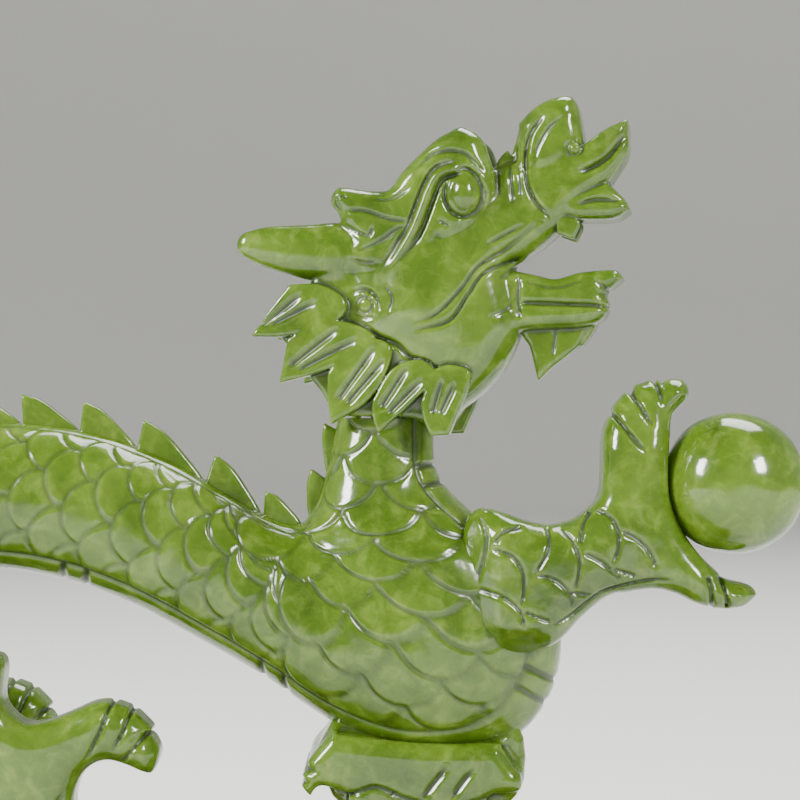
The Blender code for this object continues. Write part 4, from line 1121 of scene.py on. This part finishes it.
def makeFrontCloud():
    look = cloudLook
    block = Block((32.0, -20.0, 21.0), (104.0, 20.0, 92.0), look["step"])
    lines = [
        ([(69.3, 60), (72.5, 64), (75.8, 68)], 1.2, 1.2, (0.3, 0.3)),
        ([(76.8, 60), (79.5, 64), (82.5, 67.5)], 1.2, 1.2, (0.3, 0.3)),
        ([(44, 62.8), (50.5, 61), (58, 63), (66, 60), (76, 58), (88, 60.8)], 1.0, 1.1, (0.1, 0.1)),
        ([(52, 57), (62, 53), (74, 53), (85, 57)], 1.0, 1.0),
        ([(46, 48), (60, 43), (76, 43), (92, 47)], 1.0, 1.0),
        scroll((48, 36), 6.2, 190), scroll((88, 35), 6.2, -10, -1), scroll((68, 31), 5.2, 90),
    ]
    lines = [(seenAt(points, look["frontHalf"]), *rest) for points, *rest in lines]
    block.plate(seenAt([(47.8, 76.8), (44, 73), (40.7, 68.8), (41.7, 67.3, 1), (39.5, 65.8), (40.3, 64, 1),
                        (39.2, 63), (41.3, 60.3, 1),
                 (43.8, 62.7), (50.3, 60.7), (51.5, 57.5), (52, 52), (45, 48), (38.5, 42), (40.5, 33, 1),
                 (36.5, 20, 1),
                 (98.5, 20, 1), (96.5, 33), (99, 41), (92.5, 47), (85, 52), (85, 58), (87.8, 60.7, 1),
                 (94, 61.7),
                 (94.5, 65.3), (92.5, 68, 1), (89.5, 72.7), (89, 73.5), (70, 73.5), (50, 75.5)],
                 look["frontHalf"]),
                0.0, look["frontHalf"], look["edge"], lines, 1.0)
    # A narrower core reaches up into the belly's hollow.
    block.plate([(50, 60), (50, 84), (90, 84), (90, 60)], 0.0, 10.0, 3.0, (), 2.0)
    block.cutBelow(look["boardTop"])
    block.plate([(43, 34, 1), (93, 34, 1), (93, look["tenonFoot"], 1), (43, look["tenonFoot"], 1)], 0.0,
                12.0, 0.3, (), 0.2)
    return block.surface("frontCloudCarving")


def makeRearCloud():
    look = cloudLook
    block = Block((-126.0, -27.0, 21.0), (-4.0, 27.0, 100.0), look["step"] * 1.25)
    baseLines = [scroll((-108, 40), 6.2, 160), scroll((-84, 38), 6.5, 20, -1), scroll((-60, 39), 6.5, 160),
                 scroll((-36, 38), 6.2, 20, -1), scroll((-18, 38), 4.8, 120),
                 ([(-118, 47), (-96, 44.5), (-72, 47), (-48, 44.5), (-14, 47)], 1.0, 1.0)]
    block.plate([(-122, 28, 1), (-118, 34), (-121, 41), (-115, 48), (-104, 51, 1), (-18, 51, 1),
                 (-10.5, 45), (-13.5, 37),
                 (-8, 28, 1)], 0.0, look["baseHalf"], 2.2, baseLines, 1.0)
    block.plate([(-117, 40), (-113, 52), (-118.5, 60), (-117, 68), (-112, 74), (-110, 92), (-98, 94),
                 (-88, 92), (-84, 82),
                 (-79, 74), (-78.5, 66), (-84, 58), (-82, 40)], 0.0, look["pillarHalf"], 3.0,
                [scroll((-108, 66), 6.0, 170), scroll((-89, 68), 5.6, 10, -1),
                 ([(-110, 78), (-98, 82), (-86, 78)], 1.0, 1.0)], 1.0)
    block.plate([(-112, 34, 1), (-20, 34, 1), (-20, look["tenonFoot"], 1), (-112, look["tenonFoot"], 1)],
                0.0, 15.0, 0.3,
                (), 0.2)
    return block.surface("rearCloudCarving")


# ---- the stand ----
standLook = {
    "halfLong": 132.0, "halfWide": 45.0, "corner": 14.0, "under": 17.5, "top": 27.5, "socketDepth": 4.0,
    "sockets": [(42.5, 93.5, 12.5), (-112.5, -19.5, 15.5)],
    "footX": 118.0, "footY": 33.0, "footHalf": 8.0, "railDrop": 11.0, "railHalf": 3.0, "gap": 0.3,
}


def roundedRing(halfX, halfY, corner, height, around=12):
    # A rectangle with quarter-circle corners, starting at its +x side.
    rows = []
    for quarter, (sx, sy) in enumerate(((1, 1), (-1, 1), (-1, -1), (1, -1))):
        angle = math.pi / 2 * (quarter + np.linspace(0, 1, around))
        rows.append(np.stack([sx * (halfX - corner) + corner * np.cos(angle),
                              sy * (halfY - corner) + corner * np.sin(angle),
                              np.full(around, float(height))], -1))
    return np.vstack(rows)


def ringStack(name, rings):
    # Closes a stack of equal rings with a fan at each end.
    around = len(rings[0])
    points = np.vstack(rings + [rings[0].mean(0)[None], rings[-1].mean(0)[None]])
    count = around * len(rings)
    return outward(buildMesh(name, points, ringFaces(len(rings), around, count, count + 1)))


def cutBox(piece, low, high):
    # Takes a box out of a piece with a Boolean, which is then made part of its mesh.
    middle = [(low[k] + high[k]) / 2 for k in range(3)]
    ring = [roundedRing((high[0] - low[0]) / 2, (high[1] - low[1]) / 2, 0.8, z, 4) + [middle[0], middle[1],
                                                                                      0]
            for z in (low[2], high[2])]
    tool = ringStack("socketTool", ring)
    modifier = piece.modifiers.new("socket", "BOOLEAN")
    modifier.operation, modifier.solver, modifier.object = "DIFFERENCE", "EXACT", tool
    result = bpy.data.meshes.new_from_object(piece.evaluated_get(bpy.context.evaluated_depsgraph_get()))
    piece.modifiers.clear()
    piece.data = result
    bpy.data.objects.remove(tool, do_unlink=True)


def makeBoard():
    # A moulded edge: an ovolo above, a small step, and a cove below.
    look = standLook
    under, top = look["under"], look["top"]
    rows = [(under, 4.0), (under + 0.3, 3.6)]
    rows += [(under + 0.3 + 2.7 * t, 0.8 + 2.8 * (1 - math.sin(t * math.pi / 2))) for t in np.linspace(0.1,
                                                                                                       1,
                                                                                                       6)]
    rows += [(under + 3.2, 0.35), (under + 3.5, 0.0), (under + 6.0, 0.0), (under + 6.4, 0.5)]
    rows += [(top - 3.2 + 3.2 * math.sin(t * math.pi / 2), 0.6 + 2.4 * (1 - math.cos(t * math.pi / 2)))
             for t in np.linspace(0, 1, 8)]
    rings = [roundedRing(look["halfLong"] - inset, look["halfWide"] - inset, look["corner"] - inset,
                         z) for z, inset in rows]
    piece = ringStack("boardWood", rings)
    for lowX, highX, half in look["sockets"]:
        cutBox(piece, (lowX, -half, top - look["socketDepth"]), (highX, half, top + 5))
    piece.data.shade_smooth()
    piece.data.set_sharp_from_angle(angle=math.radians(38))
    return piece


def makeFoot(name, signX, signY):
    # A cabriole foot: square at the top, waisted, turning out to a flat toe.
    look = standLook
    rows = curveThrough([(0.0, 5.0, 3.5), (2.0, 6.0, 3.2), (5.0, 5.0, 2.2), (8.0, 5.2, 1.0),
                         (11.0, 6.8, 0.2),
                         (14.0, look["footHalf"], 0.0),
                         (look["under"] - look["gap"], look["footHalf"], 0.0)], 40)
    rings = [roundedRing(half, half, half * 0.35, max(z, 0.0), 8) + [signX * (look["footX"] + out),
                                                                     signY * (look["footY"] + out), 0]
             for z, half, out in rows]
    piece = ringStack(name, rings)
    piece.data.set_sharp_from_angle(angle=math.radians(50))
    return piece


def makeRail(name, sign, alongX):
    # An apron rail: its lower edge steps up in scallops to the middle, with a bead line and two scrolls.
    look = standLook
    reach = (look["footX"] if alongX else look["footY"]) - look["footHalf"] - look["gap"]
    top = look["under"] - look["gap"]
    drops = [(1.0, look["railDrop"]), (0.86, look["railDrop"]), (0.78, 7.5), (0.62, 6.0), (0.30, 6.0),
             (0.16, 8.0)]
    right = [(reach * share, top - drop, 1) if k == 0 else (reach * share, top - drop) for k,
             (share, drop) in enumerate(drops)]
    outline = [(-reach, top, 1), (reach, top, 1)] + right + [(-p[0], *p[1:]) for p in reversed(right)]
    block = Block((-reach - 2, -5.0, top - look["railDrop"] - 2), (reach + 2, 5.0, top + 2), 0.6)
    lines = [([(-reach, top - 1.6), (reach, top - 1.6)], 0.9, 0.6, (0.02, 0.02))]
    for side in (-1, 1):
        lines.append(scroll((side * reach * 0.90, top - 6.2), 3.0, 90 + 90 * side, side))
    block.plate(outline, 0.0, look["railHalf"], 0.6, lines, 0.2)

    def place(points):
        if alongX:
            return points + [0.0, sign * (look["footY"] + 3.0), 0.0]
        return np.stack([sign * (look["footX"] + 3.0) - points[:, 1], points[:, 0], points[:, 2]], -1)

    return block.surface(name, place)


woodLook = {"dark": "#1e0c07", "middle": "#3c190e", "warm": "#5a2a17", "poreMm": 0.9, "figureMm": 14.0,
            "roughness": 0.3}


def makeRosewood(name):
    # Rosewood, sanded and waxed: dark red-brown bands run along the board, with fine darker pores.
    look = woodLook
    material, tree = newMaterial(name)
    place = addNode(tree, "ShaderNodeTexCoord").outputs["Object"]
    along = addNode(tree, "ShaderNodeMapping", {"Scale": (0.09, 1.0, 1.0)},
                    {"Vector": place}).outputs["Vector"]
    figure = addNode(tree, "ShaderNodeTexNoise",
                     {"Scale": 1000 / look["figureMm"], "Detail": 5.0, "Roughness": 0.6,
                                                  "Distortion": 0.8}, {"Vector": along})
    pores = addNode(tree, "ShaderNodeTexNoise",
                    {"Scale": 1000 / look["poreMm"], "Detail": 2.0, "Roughness": 0.5},
                    {"Vector": along})
    bands = ramp(tree, figure.outputs["Fac"],
                 [(0.34, look["dark"]), (0.50, look["middle"]), (0.64, look["warm"])])
    dark = addNode(tree, "ShaderNodeMapRange",
                   {"From Min": 0.55, "From Max": 0.66, "To Min": 0.0, "To Max": 0.6},
                   {"Value": pores.outputs["Fac"]})
    colour = addNode(tree, "ShaderNodeMix", {"data_type": "RGBA", 7: toLinear(look["dark"])},
                     {0: dark.outputs[0], 6: bands.outputs["Color"]})
    bump = addNode(tree, "ShaderNodeBump", {"Strength": 0.25, "Distance": 0.0001},
                   {"Height": pores.outputs["Fac"]})
    shader = addNode(tree, "ShaderNodeBsdfPrincipled",
                     {"IOR": 1.5, "Roughness": look["roughness"], "Coat Weight": 0.25,
                                                        "Coat Roughness": 0.2},
                     {"Base Color": colour.outputs[2], "Normal": bump.outputs[0]})
    addNode(tree, "ShaderNodeOutputMaterial", {}, {"Surface": shader.outputs[0]})
    return material


bambooLook = {"pale": "#b08c50", "dark": "#7c5a2c", "fibreMm": 0.8}


def makeBamboo(name):
    # Bamboo dowel stock, split and turned, unpolished: straw-brown with darker fibres along its length.
    look = bambooLook
    material, tree = newMaterial(name)
    place = addNode(tree, "ShaderNodeTexCoord").outputs["Object"]
    along = addNode(tree, "ShaderNodeMapping", {"Scale": (1.0, 1.0, 0.06)},
                    {"Vector": place}).outputs["Vector"]
    fibre = addNode(tree, "ShaderNodeTexNoise", {"Scale": 1000 / look["fibreMm"], "Detail": 2.0},
                    {"Vector": along})
    colour = ramp(tree, fibre.outputs["Fac"], [(0.4, look["dark"]), (0.6, look["pale"])])
    shader = addNode(tree, "ShaderNodeBsdfPrincipled", {"IOR": 1.5, "Roughness": 0.6},
                     {"Base Color": colour.outputs["Color"]})
    addNode(tree, "ShaderNodeOutputMaterial", {}, {"Surface": shader.outputs[0]})
    return material


# ---- studio ----

studioLook = {
    "lens": 85.0, "aimX": 64.0, "aimZ": 160.0, "frameWide": 200.0,
    "floorRadius": 3.2, "wallHeight": 3.4, "floorColour": "#e6e6e2",
}


def softbox(name, azimuth, elevation, distance, wide, tall, power):
    # A rectangular lamp on a sphere round the dragon. Azimuth 0 is the -Y side, and 90 the +X side.
    a, e = math.radians(azimuth), math.radians(elevation)
    back = np.array([math.sin(a) * math.cos(e), -math.cos(a) * math.cos(e), math.sin(e)])
    lamp = bpy.data.lights.new(name, "AREA")
    lamp.shape = "RECTANGLE"
    lamp.size, lamp.size_y = wide, tall
    lamp.energy = power
    holder = bpy.data.objects.new(name, lamp)
    bpy.context.scene.collection.objects.link(holder)
    aim = toFrame([40.0, 0.0, 130.0])
    holder.location = aim + back * distance
    holder.rotation_euler = Vector(-back).to_track_quat("-Z", "Y").to_euler()


def makeStudio():
    # The floor is one turned surface: flat, then sweeping up into a tall pale wall all round.
    look = studioLook
    t = np.linspace(0, 1, 41)[1:]
    radius = np.concatenate([np.linspace(0.02, look["floorRadius"] - 1.0, 8),
                             look["floorRadius"] - 1.0 + np.sin(t * math.pi / 2), [look["floorRadius"]]])
    height = np.concatenate([np.zeros(8), 1.0 - np.cos(t * math.pi / 2), [look["wallHeight"]]])
    around = 96
    angle = 2 * math.pi * np.arange(around) / around
    points = np.stack([radius[:, None] * np.cos(angle), radius[:, None] * np.sin(angle),
                       np.repeat(height[:, None], around, 1)], -1).reshape(-1, 3)
    points = np.vstack([points, [[0, 0, 0]]]) * 1000.0 - frameShift * 1000.0
    floor = buildMesh("studioFloor", points, ringFaces(len(radius), around, len(points) - 1))
    material, tree = newMaterial("matt pale studio paper")
    shader = addNode(tree, "ShaderNodeBsdfPrincipled",
                     {"Base Color": toLinear(look["floorColour"]), "Roughness": 0.9,
                                                        "Specular IOR Level": 0.1})
    addNode(tree, "ShaderNodeOutputMaterial", {}, {"Surface": shader.outputs[0]})
    floor.data.materials.append(material)
    softbox("left softbox", -62, 27, 1.15, 0.30, 0.42, 30)
    softbox("right softbox", 44, 27, 1.15, 0.22, 0.34, 18)
    softbox("top softbox", 150, 62, 1.5, 0.9, 0.7, 26)
    world = bpy.data.worlds.new("soft room")
    bpy.context.scene.world = world
    world.use_nodes = True
    world.node_tree.nodes["Background"].inputs["Color"].default_value = (1, 1, 1, 1)
    world.node_tree.nodes["Background"].inputs["Strength"].default_value = 0.22


def makeCamera():
    look = studioLook
    lens = bpy.data.cameras.new("camera")
    lens.lens = look["lens"]
    lens.sensor_width = 36.0
    lens.clip_start, lens.clip_end = 0.01, 50.0
    holder = bpy.data.objects.new("camera", lens)
    bpy.context.scene.collection.objects.link(holder)
    distance = look["frameWide"] * look["lens"] / 36.0
    holder.location = toFrame([look["aimX"], -distance, look["aimZ"]])
    holder.rotation_euler = (math.pi / 2, 0.0, 0.0)
    bpy.context.scene.camera = holder


print("making the studio")
makeStudio()
makeCamera()

print("making materials")
jade = makeJade("serpentine jade, wheel-carved and polished")
rosewood = makeRosewood("rosewood, sanded and waxed")
bamboo = makeBamboo("bamboo dowel, unpolished")


def placePiece(piece, node, body, material):
    # Gives a finished piece its stone or wood, and stands it in for the plain solid, if it has one.
    piece.data.materials.clear()
    piece.data.materials.append(material)
    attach(piece, body)
    if node:
        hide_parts(node)


print("making the body")
frontEnd, rearEnd, tailEnd = 15, 21, len(bodyRows) - 1
for name, node, start, end, rows in (
        ("bodyFront", "front_body", 0, frontEnd, bodyLook["frontRows"]),
        ("bodyRear", "rear_body", frontEnd + 0.012, rearEnd, bodyLook["rearRows"]),
        ("bodyTail", "tail", rearEnd + 0.02, tailEnd, bodyLook["tailRows"])):
    placePiece(makeBodyPiece(name, start, end, rows, bodyLook["around"]), node, "figurine", jade)
for name, part in (("spineFront", "front"), ("spineRear", "rear"), ("spineTail", "tail")):
    placePiece(makeSpine(name, part), None, "figurine", jade)

print("making the head")
placePiece(makeHead(), "head", "head", jade)

print("making the legs and the pearl")
placePiece(makeArm(), "front_right_leg", "figurine", jade)
placePiece(makeFarArm(), "front_left_leg", "figurine", jade)
placePiece(makeHindLeg("nearHindLeg", thighRows, -1, 0.0), "hind_right_leg", "figurine", jade)
placePiece(makeHindLeg("farHindLeg", farThighRows, 1, hindLook["farShift"]), "hind_left_leg", "figurine",
           jade)
placePiece(makePearl(), "pearl", "figurine", jade)

print("making the clouds")
placePiece(makeFrontCloud(), "front_cloud", "figurine", jade)
placePiece(makeRearCloud(), "rear_cloud", "figurine", jade)

print("making the stand")
placePiece(makeBoard(), "stand_board", "stand", rosewood)
for end, signX in (("front", 1), ("rear", -1)):
    for side, signY in (("right", -1), ("left", 1)):
        placePiece(makeFoot(f"foot_{end}_{side}", signX, signY), f"stand_foot_{end}_{side}", "stand",
                   rosewood)
for side, sign, alongX in (("right", -1, True), ("left", 1, True), ("front", 1, False),
                           ("rear", -1, False)):
    placePiece(makeRail(f"rail_{side}", sign, alongX), f"stand_rail_{side}", "stand", rosewood)

print("finishing the dowels")
for node, part in frame["nodes"].items():
    if node.endswith("_peg"):
        part.data.materials.clear()
        part.data.materials.append(bamboo)
